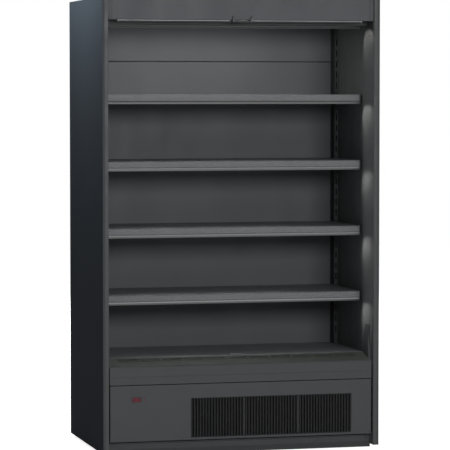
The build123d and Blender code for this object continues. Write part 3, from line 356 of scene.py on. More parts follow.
def woven(name, colour, threads):
    """Blind cloth: plain weave of flat metallised threads."""
    mat, tree, shader = new_material(name)
    v = place(tree)
    axes = split_axes(tree, v)
    warp, weft = (math_node(tree, "SINE", math_node(tree, "MULTIPLY", axes[a], threads * 2.0)) for a in "XZ")
    weave = math_node(tree, "MULTIPLY", warp, weft)
    patches = spread(tree, noise(tree, v, 18.0, 3.0), 0.0, 0.3, 0.4, 0.8)
    base = mix_colour(tree, spread(tree, weave, 0.0, 1.0, -1.0, 1.0), times(colour, 0.72), times(colour, 1.15))
    assign(tree, shader, {
        "Base Color": mix_colour(tree, patches, base, times(colour, 0.8)),
        "Roughness": spread(tree, weave, 0.42, 0.62, -1.0, 1.0),
        "Metallic": 0.25,
        "Sheen Weight": 0.15,
        "Normal": bump(tree, weave, 0.5, 0.00015),
    })
    return mat


def rubber_and_shade(name, colour):
    """Seals: matt, with the pale bloom of age."""
    mat, tree, shader = new_material(name)
    v = place(tree)
    bloom = noise(tree, v, 34.0, 4.0, 0.65)
    assign(tree, shader, {
        "Base Color": mix_colour(tree, bloom, colour, times(colour, 1.9)),
        "Roughness": spread(tree, bloom, 0.62, 0.82),
        "Specular IOR Level": 0.3,
        "Normal": bump(tree, noise(tree, v, 700.0, 3.0), 0.35, 0.0001),
    })
    return mat


STEEL_DARK = powder_coat("painted_steel_dark", (0.0310, 0.0321, 0.0344), level=0.2)
# Painted light: the side skins' front return is painted 1.6 times lighter than their shaded sides.
SKIN = powder_coat("painted_side_skin", (0.036, 0.0375, 0.040), level=0.0, front=(FRONT + 0.0006, 1.6))
STEEL_GREY = powder_coat("painted_steel_grey", (0.068, 0.0702, 0.0756), rough=0.46, level=0.1)
TRAY = powder_coat("shelf_paint", (0.100, 0.103, 0.110), level=0.15)
FASCIA = powder_coat("painted_fascia", (0.0575, 0.0592, 0.0640), rough=0.5, level=0.15)
# Painted shade: the deck's front 129 mm is painted at a quarter of its colour, against the light from the lowest shelf
# lamp falling there.
DECK = powder_coat("deck_paint", (0.130, 0.133, 0.140), rough=0.5, wear=0.06, level=0.1, front=(FRONT + 0.129, 0.25))
LIP = powder_coat("return_grille_paint", (0.0385, 0.0412, 0.0380), rough=0.5, wear=0.15, level=0.1)
DARK_PAINT = powder_coat("dark_paint", (0.022, 0.0225, 0.024), rough=0.5, level=0.2)
KICK = powder_coat("kick_plate_paint", (0.027, 0.028, 0.0295), rough=0.5, level=0.2)
COMPRESSOR = powder_coat("compressor_paint", (0.012, 0.012, 0.013), rough=0.32, peel=380.0, peel_strength=0.5)
# The liner's colour is lightened against the shade on the end walls' inner faces, and its front edges are painted
# darker.
LINER = foamed_panel("panel_liner", (0.083, 0.086, 0.087))
BLACK = moulded("black_plastic", (0.020, 0.0205, 0.0215), rough=0.55)
SLATS = moulded("grille_plastic", (0.0082, 0.0085, 0.0090), rough=0.55, level=0.12)
FAN = moulded("fan_plastic", (0.026, 0.026, 0.028), rough=0.42, grain=700.0)
HANDLE = moulded("handle_plastic", (0.013, 0.0135, 0.0145), rough=0.45, grain=900.0, strength=0.2, level=0.25)
CATCH = moulded("catch_plastic", (0.058, 0.060, 0.062), rough=0.45, grain=900.0, strength=0.2, level=0.3)
BEZEL = moulded("bezel_plastic", (0.036, 0.037, 0.039), grain=1300.0, strength=0.15, level=0.2)
FILTER = moulded("filter_medium", (0.062, 0.063, 0.065), rough=0.85, grain=2200.0, strength=0.6, level=0.1)
ALUMINIUM = brushed("bright_aluminium", (0.78, 0.79, 0.80), rough=0.26)
BAR = brushed("anodised_bar", (0.20, 0.203, 0.208), rough=0.42, metallic=0.3)
ZINC = brushed("steel_zinc", (0.52, 0.53, 0.55), rough=0.32, along=(9.0, 9.0, 60.0))
BLACK_ZINC = brushed("black_zinc", (0.030, 0.031, 0.034), rough=0.36, along=(20.0, 20.0, 20.0), metallic=0.6)
COPPER = brushed("copper", (0.72, 0.33, 0.18), along=(20.0, 20.0, 20.0))
GALVANISED = spangled("galvanised", (0.30, 0.315, 0.33))
FINS = finned("coil_fins", (0.55, 0.57, 0.58), 0.003)
CANOPY_DIFFUSER = lit_diffuser("canopy_diffuser", 0.10, 0.06, (0.022, 0.0225, 0.0235))
LENS = smoked_lens("display_lens")
RED = glowing("display_segments", (0.60, 0.008, 0.07), 0.26)
CLEAR = clear_strip("ticket_cover")
CLOTH = woven("blind_cloth", (0.30, 0.305, 0.31), 1900.0)
# This dark rubber serves the real seals, and also the strips that stand for painted shade in gaps, grooves and
# recesses.
RUBBER_AND_SHADE = rubber_and_shade("rubber_and_shade", (0.018, 0.018, 0.019))

FINISH = {
    "side_skins": SKIN, "wall_cheeks": STEEL_DARK, "front_bumper": STEEL_DARK, "lower_front_panel": STEEL_DARK,
    "canopy_fascia": FASCIA, "canopy_inner_panel": DARK_PAINT, "canopy_lamp": CANOPY_DIFFUSER,
    "left_end_wall": LINER, "right_end_wall": LINER, "rear_insulated_wall": LINER, "roof_panel": LINER,
    "insulated_tub": LINER, "rear_duct_panels": STEEL_GREY, "air_outlet_grid": BLACK,
    "slotted_uprights": DARK_PAINT, "base_deck": DECK, "return_air_grille": LIP, "lower_grille": SLATS,
    "kick_plate": KICK, "panel_screws": BLACK_ZINC, "base_frame": DARK_PAINT, "levelling_feet": ZINC,
    "blind_sheet": CLOTH, "blind_roller": CLOTH, "blind_pull_bar": BAR, "blind_handle": HANDLE,
    "blind_brackets": BLACK, "blind_catch": CATCH, "controller_housing": BEZEL, "controller_lens": LENS,
    "controller_key_up": BLACK, "controller_key_down": BLACK, "electrical_box": BLACK,
    "evaporator_coil": FINS, "evaporator_fan_plate": GALVANISED, "evaporator_fan_motors": BLACK,
    "evaporator_fan_left": FAN, "evaporator_fan_right": FAN, "evaporation_tray": GALVANISED,
    "compressor": COMPRESSOR, "condenser_coil": FINS, "condenser_fan": FAN, "condenser_fan_shroud": GALVANISED,
    "refrigerant_pipes": COPPER, "rear_service_cover": GALVANISED,
}

# Each price rail has painted light: a painted shadow in its groove over a foot with a painted highlight as bright as
# the clip below it, which carries the same painted highlight, brighter on the lower shelves. The top rail's foot stays
# dark, with only the painted shadow.
GROOVE_SHADE = (0.044, 0.045, 0.047)
CLIP_HIGHLIGHT = {}
for n, bright in zip(SHELVES, (0.270, 0.225, 0.210, 0.080)):
    rail_foot, lamp_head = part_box(f"shelf_{n}_price_rail")[0].z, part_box(f"shelf_{n}_lamp")[1].z
    highlight_colour = (bright, bright * 1.014, bright * 1.045)
    if n < 4:
        painted_light_bands = ((rail_foot + 0.0062, GROOVE_SHADE), (rail_foot + 0.0022, highlight_colour))
    else:
        painted_light_bands = ((rail_foot + 0.0036, GROOVE_SHADE),)
    fine = {"grain": 1600.0, "strength": 0.12, "level": 0.1}
    CLIP_HIGHLIGHT[n] = moulded(f"clip_painted_highlight_{n}", highlight_colour, **fine)
    FINISH[f"shelf_{n}_price_rail"] = moulded(f"rail_painted_light_{n}", (0.098, 0.1005, 0.105), painted_light_bands=painted_light_bands, **fine)
    # The lamp's carrier takes the painted highlight colour, and is painted dark below the lamp's top as painted shade.
    FINISH[f"shelf_{n}_lamp"] = lit_diffuser(f"diffuser_{n}", 0.15, 0.2, highlight_colour, lamp_head)
    FINISH[f"shelf_{n}_tray"] = TRAY
    FINISH[f"shelf_{n}_brackets"] = STEEL_GREY

for name, obj in nodes.items():
    obj.data.materials.clear()
    obj.data.materials.append(None)
    obj.material_slots[0].link = "OBJECT"
    obj.material_slots[0].material = FINISH[name]
    for polygon in obj.data.polygons:
        polygon.material_index = 0


# ---------------------------------------------------------------- mesh helpers


def finish_piece(name, bm, mat, body, smooth=True):
    """The mesh becomes a piece with a material, riding on a body unless it is to be blended."""
    mesh = bpy.data.meshes.new(name)
    bmesh.ops.recalc_face_normals(bm, faces=bm.faces)
    bm.to_mesh(mesh)
    bm.free()
    obj = bpy.data.objects.new(name, mesh)
    scene.collection.objects.link(obj)
    mesh.materials.append(mat)
    if smooth:
        for polygon in mesh.polygons:
            polygon.use_smooth = True
        mesh.set_sharp_from_angle(angle=radians(38.0))
    if body:
        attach(obj, body)
    return obj


def soften(obj, width, segments=2, angle=40.0):
    modifier = obj.modifiers.new("soften", "BEVEL")
    modifier.width = width
    modifier.segments = segments
    modifier.limit_method = "ANGLE"
    modifier.angle_limit = radians(angle)


def angles(count):
    return [tau * i / count for i in range(count)]


def cross_axes(along):
    """Two directions square to a third and to each other."""
    helper = Vector((0.0, 0.0, 1.0)) if abs(along.z) < 0.9 else Vector((1.0, 0.0, 0.0))
    u = along.cross(helper).normalized()
    return u, along.cross(u).normalized()


def add_row(bm, points):
    return [bm.verts.new(p) for p in points]


def add_ring(bm, centre, u, w, radius, sides):
    return add_row(bm, [centre + (u * cos(a) + w * sin(a)) * radius for a in angles(sides)])


def add_skin(bm, rows, around=False):
    """Faces between neighbouring rows; around also joins each row's end to its start."""
    for a, b in zip(rows, rows[1:]):
        for i in range(len(a) if around else len(a) - 1):
            j = (i + 1) % len(a)
            bm.faces.new((a[i], a[j], b[j], b[i]))


def add_tube(bm, rings):
    """Closed rings joined one to the next, with a face at each end."""
    add_skin(bm, rings, around=True)
    bm.faces.new(rings[0])
    bm.faces.new(rings[-1])


def add_wire(bm, points, radius, closed=True, sides=6):
    """A round wire that follows a line of points, closed or with flat ends."""
    points = [Vector(p) for p in points]
    last = len(points) - 1
    rings = []
    for k, p in enumerate(points):
        before = points[k - 1] if closed or k else p
        after = points[(k + 1) % len(points)] if closed or k < last else p
        rings.append(add_ring(bm, p, *cross_axes((after - before).normalized()), radius, sides))
    if closed:
        add_skin(bm, rings + rings[:1], around=True)
    else:
        add_tube(bm, rings)


def add_profile(bm, outline, x_low, x_high):
    """A section in Y and Z, drawn out along X, with its end faces."""
    add_tube(bm, [add_row(bm, [(x, y, z) for y, z in outline]) for x in (x_low, x_high)])


def add_profile_pair(bm, outline, inner, outer):
    """The same section on the left and on the right, between two distances from the middle."""
    add_profile(bm, outline, -outer, -inner)
    add_profile(bm, outline, inner, outer)


def add_plate(bm, outline, thickness):
    """A flat outline of 3-D points, given a thickness to the back."""
    add_tube(bm, [add_row(bm, outline), add_row(bm, [(x, y + thickness, z) for x, y, z in outline])])


def add_lathe(bm, origin, axis, section, sides=24):
    """A turned form: section is a list of (distance along the axis, radius), and the last radius may be 0."""
    origin, axis = Vector(origin), Vector(axis).normalized()
    u, w = cross_axes(axis)
    tip = section[-1][1] == 0.0
    rings = [add_ring(bm, origin + axis * along, u, w, radius, sides) for along, radius in section if radius]
    if not tip:
        add_tube(bm, rings)
        return
    point = bm.verts.new(origin + axis * section[-1][0])
    add_skin(bm, rings, around=True)
    for i in range(sides):
        bm.faces.new((rings[-1][i], rings[-1][(i + 1) % sides], point))
    bm.faces.new(rings[0])


def rounded(points, radius, steps=3):
    """Corners of a flat outline of (y, z) or (x, z) pairs replaced by arcs of one radius."""
    result = []
    count = len(points)
    for i, p in enumerate(points):
        p = Vector(p)
        a = (Vector(points[i - 1]) - p).normalized()
        b = (Vector(points[(i + 1) % count]) - p).normalized()
        half_angle = a.angle(b) / 2.0
        back_off = radius / max(0.05, tan(half_angle))
        start, end = p + a * back_off, p + b * back_off
        centre = p + (a + b).normalized() * (radius / sin(half_angle))
        for k in range(steps + 1):
            q = start.lerp(end, k / steps)
            result.append(tuple(centre + (q - centre).normalized() * radius))
    return result


def rounded_box(y_low, z_low, y_high, z_high, radius, steps=3):
    return rounded([(y_low, z_low), (y_low, z_high), (y_high, z_high), (y_high, z_low)], radius, steps)


# ---------------------------------------------------------------- night blind: cloth, tube and wound turns

roller_low, roller_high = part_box("blind_roller")
bar_low, bar_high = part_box("blind_pull_bar")
cloth_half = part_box("blind_sheet")[1].x
roller_y = FRONT + 0.066
roller_z = 1.972
tube_half = cloth_half + 0.003
tube_end = 2 * tube_half

bm = bmesh.new()
section = [
    (0.0, 0.0165), (0.0, 0.0192), (0.001, 0.0198),
    (tube_end - 0.001, 0.0198), (tube_end, 0.0192), (tube_end, 0.0165),
]
add_lathe(bm, (-tube_half, roller_y, roller_z), (1.0, 0.0, 0.0), section, 36)
for side in SIDES:
    cap = side * tube_half
    pin = abs((roller_low.x if side < 0 else roller_high.x) - cap)
    section = [
        (0.0, 0.0175), (0.0015, 0.017), (0.002, 0.0075), (0.006, 0.0065), (0.007, 0.0048),
        (pin - 0.0006, 0.0048), (pin, 0.0042),
    ]
    add_lathe(bm, (cap, roller_y, roller_z), (side, 0.0, 0.0), section, 20)
tube = finish_piece("roller_tube", bm, ALUMINIUM, "roller")
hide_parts("blind_roller")

turns = 11.0
inner, outer = 0.0202, 0.0248
bm = bmesh.new()
rows = []
steps = 330
for k in range(steps + 1):
    t = k / steps
    angle = pi - tau * turns * (1.0 - t)
    r = inner + (outer - inner) * t
    y, z = roller_y + r * cos(angle), roller_z + r * sin(angle)
    rows.append(add_row(bm, [(x, y, z) for x in (-cloth_half, -cloth_half / 3, cloth_half / 3, cloth_half)]))
add_skin(bm, rows)
wound = finish_piece("blind_cloth_wound", bm, CLOTH, "roller")

bm = bmesh.new()
rows = []
steps, columns = 64, 12
hang_top, hang_low = roller_z, bar_high.z - 0.002
for k in range(steps + 1):
    z = hang_top + (hang_low - hang_top) * k / steps
    y = roller_y - outer - 0.00005
    rows.append(add_row(bm, [(-cloth_half + 2 * cloth_half * i / columns, y, z) for i in range(columns + 1)]))
add_skin(bm, rows)
hanging = finish_piece("blind_cloth_hanging", bm, CLOTH, None)
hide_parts("blind_sheet")
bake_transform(hanging)

# ---------------------------------------------------------------- shelf fittings

for n in SHELVES:
    body = f"shelf_{n}"
    rail_low, rail_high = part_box(f"shelf_{n}_price_rail")
    lamp_low, lamp_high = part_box(f"shelf_{n}_lamp")
    face = rail_low.y
    bm = bmesh.new()
    outline = rounded_box(face + 0.0002, rail_low.z - 0.0004, face + 0.0065, rail_high.z - 0.0006, 0.0014)
    add_profile_pair(bm, outline, rail_high.x + 0.0002, rail_high.x + 0.0024)
    soften(finish_piece(f"shelf_{n}_rail_caps", bm, BLACK, body), 0.0004)

    bm = bmesh.new()
    rows = []
    top, foot = rail_high.z - 0.0032, rail_low.z + 0.0032
    for k in range(9):
        t = k / 8
        y, z = face + 0.0006 - 0.00045 * sin(pi * t), foot + (top - foot) * t
        stops = (rail_low.x + 0.0035, rail_low.x / 3, rail_high.x / 3, rail_high.x - 0.0035)
        rows.append(add_row(bm, [(x, y, z) for x in stops]))
    add_skin(bm, rows)
    finish_piece(f"shelf_{n}_ticket_cover", bm, CLEAR, body)

    # The clip under each rail carries that shelf's painted highlight.
    bm = bmesh.new()
    clip = rounded_box(face + 0.0006, lamp_high.z + 0.0002, face + 0.0039, rail_low.z - 0.0003, 0.0006)
    add_profile(bm, clip, rail_low.x + 0.0030, rail_high.x - 0.0030)
    finish_piece(f"shelf_{n}_lamp_clip", bm, CLIP_HIGHLIGHT[n], body)

    bm = bmesh.new()
    outline = rounded_box(lamp_low.y - 0.0004, lamp_low.z - 0.0003, lamp_high.y - 0.0006, lamp_high.z - 0.0004, 0.0012)
    add_profile_pair(bm, outline, lamp_high.x - 0.009, lamp_high.x + 0.0011)
    soften(finish_piece(f"shelf_{n}_lamp_ends", bm, BLACK, body), 0.0003, 1)

# ---------------------------------------------------------------- controller digits and key marks

lens_low, lens_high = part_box("controller_lens")
middle = (lens_low + lens_high) / 2.0
digit_face = lens_low.y - 0.00012
digit_height = 0.0150
digit_depth = 0.0001


def add_digit(bm, x, z, height, lit):
    """Bars of a seven-bar digit, slanted a little, each with pointed ends."""
    wide, bar = height * 0.52, height * 0.115
    half_height, slant = height / 2.0, 0.12
    places = {
        "a": (0.0, half_height, 0), "d": (0.0, -half_height, 0), "g": (0.0, 0.0, 0),
        "f": (-wide / 2, half_height / 2, 1), "b": (wide / 2, half_height / 2, 1),
        "e": (-wide / 2, -half_height / 2, 1), "c": (wide / 2, -half_height / 2, 1),
    }
    t = bar / 2.0
    for letter in lit:
        px, pz, upright = places[letter]
        reach = (half_height if upright else wide) / 2.0 - bar * 0.35
        flat = [(-reach - t, 0.0), (-reach, -t), (reach, -t), (reach + t, 0.0), (reach, t), (-reach, t)]
        turned = [(b, a) if upright else (a, b) for a, b in flat]
        outline = [(x + px + dx + (pz + dz) * slant, digit_face, z + pz + dz) for dx, dz in turned]
        add_plate(bm, outline, digit_depth)


def lens_circle(x, z, radius, count):
    return [(middle.x + x + radius * cos(a), digit_face, middle.z + z + radius * sin(a)) for a in angles(count)]


bm = bmesh.new()
for offset, lit in ((-0.0138, "abgcd"), (-0.0004, "afgcd"), (0.0130, "ged")):
    add_digit(bm, middle.x + offset, middle.z, digit_height, lit)
add_plate(bm, lens_circle(-0.0080, -0.0074, 0.0009, 10), digit_depth)
degree_outer, degree_inner = (lens_circle(0.0122, 0.0066, r, 12) for r in (0.0012, 0.0007))
for i in range(12):
    j = (i + 1) % 12
    add_plate(bm, [degree_outer[i], degree_outer[j], degree_inner[j], degree_inner[i]], digit_depth)
finish_piece("display_digits", bm, RED, "cabinet", smooth=False)

# Painted glow: the arrows on the keys glow with the display's red, with no lamp of their own.
for key, tip in (("up", 1.0), ("down", -1.0)):
    key_low, key_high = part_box(f"controller_key_{key}")
    centre = (key_low + key_high) / 2.0
    bm = bmesh.new()
    arrow = [(-0.0024, -0.0014), (0.0024, -0.0014), (0.0, 0.0024)]
    add_plate(bm, [(centre.x + a, key_low.y - 0.0001, centre.z + tip * b) for a, b in arrow], 0.0002)
    finish_piece(f"key_{key}_mark", bm, RED, f"key_{key}", smooth=False)

# ---------------------------------------------------------------- pull handle and the bar's sealing lip

handle_low, handle_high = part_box("blind_handle")
half = handle_high.x
nose, root = handle_low.y, handle_high.y
foot = handle_low.z
arm = [
    (half, foot + 0.0050), (half, foot + 0.0185), (half - 0.0035, foot + 0.0300), (half - 0.0065, foot + 0.0300),
    (half - 0.0150, foot + 0.0120), (half - 0.0170, foot + 0.0035), (half - 0.0040, foot + 0.0020),
]
ledge = rounded_box(nose + 0.0010, foot + 0.0042, root, foot + 0.0090, 0.0012)
bm = bmesh.new()
for side in SIDES:
    add_plate(bm, [(x, nose, z) for x, z in rounded([(side * a, b) for a, b in arm], 0.0016)], 0.0078)
    add_profile(bm, ledge, *sorted((side * (half - 0.0012), side * (half - 0.0160))))
steps = 24
rings = []
for k in range(steps + 1):
    t = 2.0 * k / steps - 1.0
    sag = foot + 0.0052 + 0.0026 * t * t
    grip = [
        (nose + 0.0006, sag - 0.0046), (nose + 0.0006, sag + 0.0036), (nose + 0.0112, sag + 0.0036),
        (nose + 0.0112, sag - 0.0040),
    ]
    rings.append(add_row(bm, [(t * (half - 0.0080), y, max(foot + 0.0002, z)) for y, z in rounded(grip, 0.0030, 4)]))
add_tube(bm, rings)
pull = finish_piece("pull_handle", bm, HANDLE, "night_blind")
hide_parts("blind_handle")
soften(pull, 0.0006, angle=35.0)

bm = bmesh.new()
lip = rounded_box(bar_low.y - 0.0005, bar_low.z + 0.0002, bar_low.y + 0.0004, bar_low.z + 0.0046, 0.0003)
add_profile_pair(bm, lip, half + 0.001, bar_high.x - 0.004)
finish_piece("pull_bar_lip", bm, RUBBER_AND_SHADE, "night_blind")

# ---------------------------------------------------------------- fascia end caps

fascia_low, fascia_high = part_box("canopy_fascia")
face, end = fascia_low.y, fascia_high.x
bm = bmesh.new()
cap = rounded_box(face - 0.0012, fascia_low.z + 0.0004, face + 0.0003, fascia_high.z - 0.0006, 0.0005)
add_profile_pair(bm, cap, end - 0.0115, end)
soften(finish_piece("fascia_end_caps", bm, FASCIA, "cabinet"), 0.0004)
# Painted shade: a thin dark strip inside each end cap stands for the shadow in the gap between cap and fascia.
bm = bmesh.new()
gap_shade = rounded_box(face - 0.0003, fascia_low.z + 0.0010, face + 0.0003, fascia_high.z - 0.0012, 0.0002, 2)
add_profile_pair(bm, gap_shade, end - 0.0137, end - 0.0113)
finish_piece("fascia_cap_shade_lines", bm, RUBBER_AND_SHADE, "cabinet")

# ---------------------------------------------------------------- seals at the foot, and dark strips as painted shade in the bumper's groove and at the end walls' front edges

bumper_low, bumper_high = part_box("front_bumper")
face = bumper_low.y
groove_z = bumper_low.z + 0.035
# Painted shade: a black bead in the bumper's groove stands for the shade in it.
bm = bmesh.new()
bead = rounded([
    (face - 0.0006, groove_z - 0.0014), (face - 0.0006, groove_z + 0.0014),
    (face + 0.0008, groove_z + 0.0007), (face + 0.0008, groove_z - 0.0007),
], 0.0003)
add_profile(bm, bead, bumper_low.x + 0.0008, bumper_high.x - 0.0008)
finish_piece("bumper_groove_shade", bm, RUBBER_AND_SHADE, "cabinet")

bm = bmesh.new()
gasket = rounded_box(face + 0.0002, bumper_high.z, face + 0.0036, bumper_high.z + 0.0040, 0.0009)
add_profile(bm, gasket, bumper_low.x, bumper_high.x)
finish_piece("bumper_top_gasket", bm, RUBBER_AND_SHADE, "cabinet")

kick_low, kick_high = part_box("kick_plate")
face = kick_low.y
sweep = rounded([
    (face + 0.0058, 0.0092), (face + 0.0066, 0.0006), (face + 0.0104, 0.0006), (face + 0.0098, 0.0092),
], 0.0008)
pad = rounded([
    (face + 0.0080, 0.0090), (face + 0.0010, 0.0300), (face + 0.0010, 0.0512),
    (face + 0.0160, 0.0512), (face + 0.0160, 0.0090),
], 0.0012)
bm = bmesh.new()
add_profile(bm, sweep, 0.0002 - CLEAR_HALF, CLEAR_HALF - 0.0002)
add_profile_pair(bm, pad, kick_high.x + 0.0002, CLEAR_HALF - 0.0001)
finish_piece("kick_plate_seals", bm, RUBBER_AND_SHADE, "cabinet")

bm = bmesh.new()
bead = rounded([
    (face - 0.0004, kick_high.z), (face + 0.0002, kick_high.z + 0.0062),
    (face + 0.0040, kick_high.z + 0.0062), (face + 0.0046, kick_high.z),
], 0.0011)
add_profile(bm, bead, kick_low.x, kick_high.x)
finish_piece("kick_plate_bead", bm, KICK, "cabinet")

# Painted shade: a thin dark wedge on each end wall's inner face, just behind its front edge, stands for the shade
# there.
bm = bmesh.new()
wedge = [(0.004, 0.402), (0.030, 0.402), (0.030, 0.470), (0.009, 0.600), (0.004, 0.600)]
add_profile_pair(bm, [(FRONT + y, z) for y, z in wedge], CLEAR_HALF - 0.0008, CLEAR_HALF - 0.0001)
finish_piece("wall_edge_shade", bm, RUBBER_AND_SHADE, "cabinet")

# ---------------------------------------------------------------- mesh under the return air slots, filter, screws

intake_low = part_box("return_air_grille")[0]
intake_slope = 0.238
mesh_half, ridges = 0.5560, 160
strip = [(mesh_half * (k / ridges - 1.0), -0.0034 if k % 2 else -0.0017) for k in range(2 * ridges + 1)]
bm = bmesh.new()
tops, feet = [], []
for y in (FRONT + 0.0735, FRONT + 0.1130):
    level = intake_low.z + (y - intake_low.y) * intake_slope
    tops.append(add_row(bm, [(x, y, level + dz) for x, dz in strip]))
    feet.append(add_row(bm, [(x, y, level + dz - 0.0006) for x, dz in strip]))
for rows in (tops, feet, (tops[0], feet[0]), (tops[1], feet[1])):
    add_skin(bm, rows)
for k in (0, -1):
    bm.faces.new((tops[0][k], tops[1][k], feet[1][k], feet[0][k]))
finish_piece("intake_mesh", bm, LIP, "cabinet", smooth=False)

grille_low, grille_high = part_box("lower_grille")
filter_face, filter_back = grille_high.y + 0.0006, grille_high.y + 0.0130
inset, pleats = 0.006, 126
left, right = grille_low.x + inset, grille_high.x - inset
fold = []
for k in range(2 * pleats + 1):
    fold.append((left + (right - left) * k / (2 * pleats), filter_face + (0.0012 if k % 2 else 0.0100)))
fold += [(x, y + 0.0009) for x, y in reversed(fold)]
bm = bmesh.new()
ends = [add_row(bm, [(x, y, z) for x, y in fold]) for z in (grille_low.z + inset, grille_high.z - inset)]
add_skin(bm, ends, around=True)
for i in range(2 * pleats):
    for ring in ends:
        bm.faces.new((ring[i], ring[i + 1], ring[-2 - i], ring[-1 - i]))
finish_piece("grille_filter", bm, FILTER, "cabinet", smooth=False)

bm = bmesh.new()
for z_low, z_high in ((grille_low.z + 0.001, grille_low.z + 0.008), (grille_high.z - 0.008, grille_high.z - 0.001)):
    rail = rounded_box(filter_face, z_low, filter_back, z_high, 0.0012)
    add_profile(bm, rail, grille_low.x + 0.001, grille_high.x - 0.001)
post = rounded_box(
    filter_face + 0.0005, grille_low.z + 0.007, filter_back - 0.0005, grille_high.z - 0.007, 0.0005, 2
)
for x in (grille_low.x + 0.0045, grille_low.x + 0.255, grille_high.x - 0.255, grille_high.x - 0.0045):
    add_profile(bm, post, x - 0.0035, x + 0.0035)
finish_piece("filter_frame", bm, FILTER, "cabinet")

screw_x, screw_z = kick_high.x - 0.019, 0.0455
head = [
    (-0.0015, 0.0019), (0.0, 0.0019), (0.0, 0.0033), (0.0006, 0.0034), (0.0012, 0.0031), (0.0017, 0.0024),
    (0.00195, 0.0013), (0.0020, 0.0),
]
bm = bmesh.new()
for side in SIDES:
    add_lathe(bm, (side * screw_x, kick_low.y, screw_z), (0.0, -1.0, 0.0), head)
heads = finish_piece("screw_heads", bm, BLACK_ZINC, "cabinet")
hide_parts("panel_screws")
# Painted shade: a dark cross on each screw head stands for the shade in its cross recess.
bm = bmesh.new()
for side in SIDES:
    y = kick_low.y - 0.00205
    for along, across in ((0.0019, 0.00042), (0.00042, 0.0019)):
        corners = ((-along, -across), (along, -across), (along, across), (-along, across))
        add_plate(bm, [(side * screw_x + a, y, screw_z + b) for a, b in corners], 0.0004)
finish_piece("screw_recess_shade", bm, RUBBER_AND_SHADE, "cabinet", smooth=False)

# ---------------------------------------------------------------- rear cover: louvre hoods, screws and cable grommet

cover_low, cover_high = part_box("rear_service_cover")
cover_face, cover_middle = cover_high.y, 0.1975
louvre_length, louvre_height = 0.150, 0.008
column_pitch, row_pitch = 0.190, 0.022


def add_louvre_hood(bm, middle_x, middle_z):
    """A hood over a slot's upper half, pressed out to the back and open at its foot."""
    reach = louvre_length / 2 + 0.003
    top, low = middle_z + louvre_height / 2 + 0.003, middle_z + 0.0005
    y = cover_face
    outside, inside = [], []
    for k in range(13):
        t = k / 12
        x = middle_x - reach + 2 * reach * t
        rise = min(1.0, min(t, 1.0 - t) * 9.0)
        proud = 0.0016 * rise * rise * (3.0 - 2.0 * rise) + 0.0002
        curve = [(y + 0.0002, top), (y + proud * 0.55, top - 0.0035), (y + proud * 0.9, low + 0.0014), (y + proud, low)]
        outside.append(add_row(bm, [(x, a, b) for a, b in curve]))
        inside.append(add_row(bm, [(x, max(y, a - 0.0006), b - (0.0004 if b > low else 0.0)) for a, b in curve]))
    add_skin(bm, outside)
    add_skin(bm, inside)
    for i in (0, 3):
        add_skin(bm, ([row[i] for row in outside], [row[i] for row in inside]))
    for k in (0, -1):
        add_skin(bm, (outside[k], inside[k]))


bm = bmesh.new()
for column in (-1.5, -0.5, 0.5, 1.5):
    for row in range(-2, 3):
        add_louvre_hood(bm, column * column_pitch, cover_middle + row * row_pitch)
finish_piece("louvre_hoods", bm, GALVANISED, "cabinet")

washer = [(-0.0020, 0.0016), (0.0, 0.0016), (0.0, 0.0058), (0.0004, 0.0058), (0.0006, 0.0045)]
hexagon = [(0.0005, 0.0044), (0.0015, 0.0044), (0.0018, 0.0039)]
bm = bmesh.new()
for x in (-0.585, -0.195, 0.195, 0.585):
    for z in (cover_low.z + 0.010, cover_high.z - 0.010):
        add_lathe(bm, (x, cover_face, z), (0.0, 1.0, 0.0), washer)
        add_lathe(bm, (x, cover_face, z), (0.0, 1.0, 0.0), hexagon, 6)
finish_piece("cover_screws", bm, ZINC, "cabinet")

entry_x, entry_z = 0.510, 0.1335
section = [
    (-0.0022, 0.0097), (-0.0022, 0.0086), (0.0010, 0.0082), (0.0016, 0.0090), (0.0017, 0.0105), (0.0012, 0.0128),
    (0.0, 0.0132), (0.0, 0.0099),
]
bm = bmesh.new()
across, up = Vector((1.0, 0.0, 0.0)), Vector((0.0, 0.0, 1.0))
rings = [add_ring(bm, Vector((entry_x, cover_face + d, entry_z)), across, up, r, 40) for d, r in section]
add_skin(bm, rings + rings[:1], around=True)
finish_piece("cable_grommet", bm, RUBBER_AND_SHADE, "cabinet")

# ---------------------------------------------------------------- guards over the evaporator fans

plate_y, plate_z = FRONT + 0.360, 0.3685
tilt_cos, tilt_sin = 0.8731, 0.4875


def on_plate(fan_x, radius, angle, lift):
    """A point round a fan's middle, lifted off the tilted fan plate."""
    u, w = radius * cos(angle), radius * sin(angle)
    return fan_x + u, plate_y + w * tilt_cos - lift * tilt_sin, plate_z + w * tilt_sin + lift * tilt_cos


bm = bmesh.new()
for fan_x in (-0.320, 0.320):
    for radius in (0.028, 0.036, 0.044, 0.052):
        add_wire(bm, [on_plate(fan_x, radius, a, 0.0120) for a in angles(32)], 0.0010)
    for k in range(4):
        angle = tau * (k + 0.5) / 4
        leg = ((0.027, 0.0136), (0.050, 0.0136), (0.0545, 0.0100), (0.0560, 0.0026))
        add_wire(bm, [on_plate(fan_x, radius, angle, lift) for radius, lift in leg], 0.0012, closed=False)
finish_piece("fan_guards", bm, ZINC, "cabinet")

# ---------------------------------------------------------------- stage, light and camera


def seen_directly(tree):
    """1 for the rays that show the pale background, and 0 for the light that it throws on the object."""
    path = add_node(tree, "LightPath").outputs
    seen = math_node(tree, "MAXIMUM", path["Is Camera Ray"], path["Is Glossy Ray"])
    return math_node(tree, "MAXIMUM", seen, path["Is Transmission Ray"])


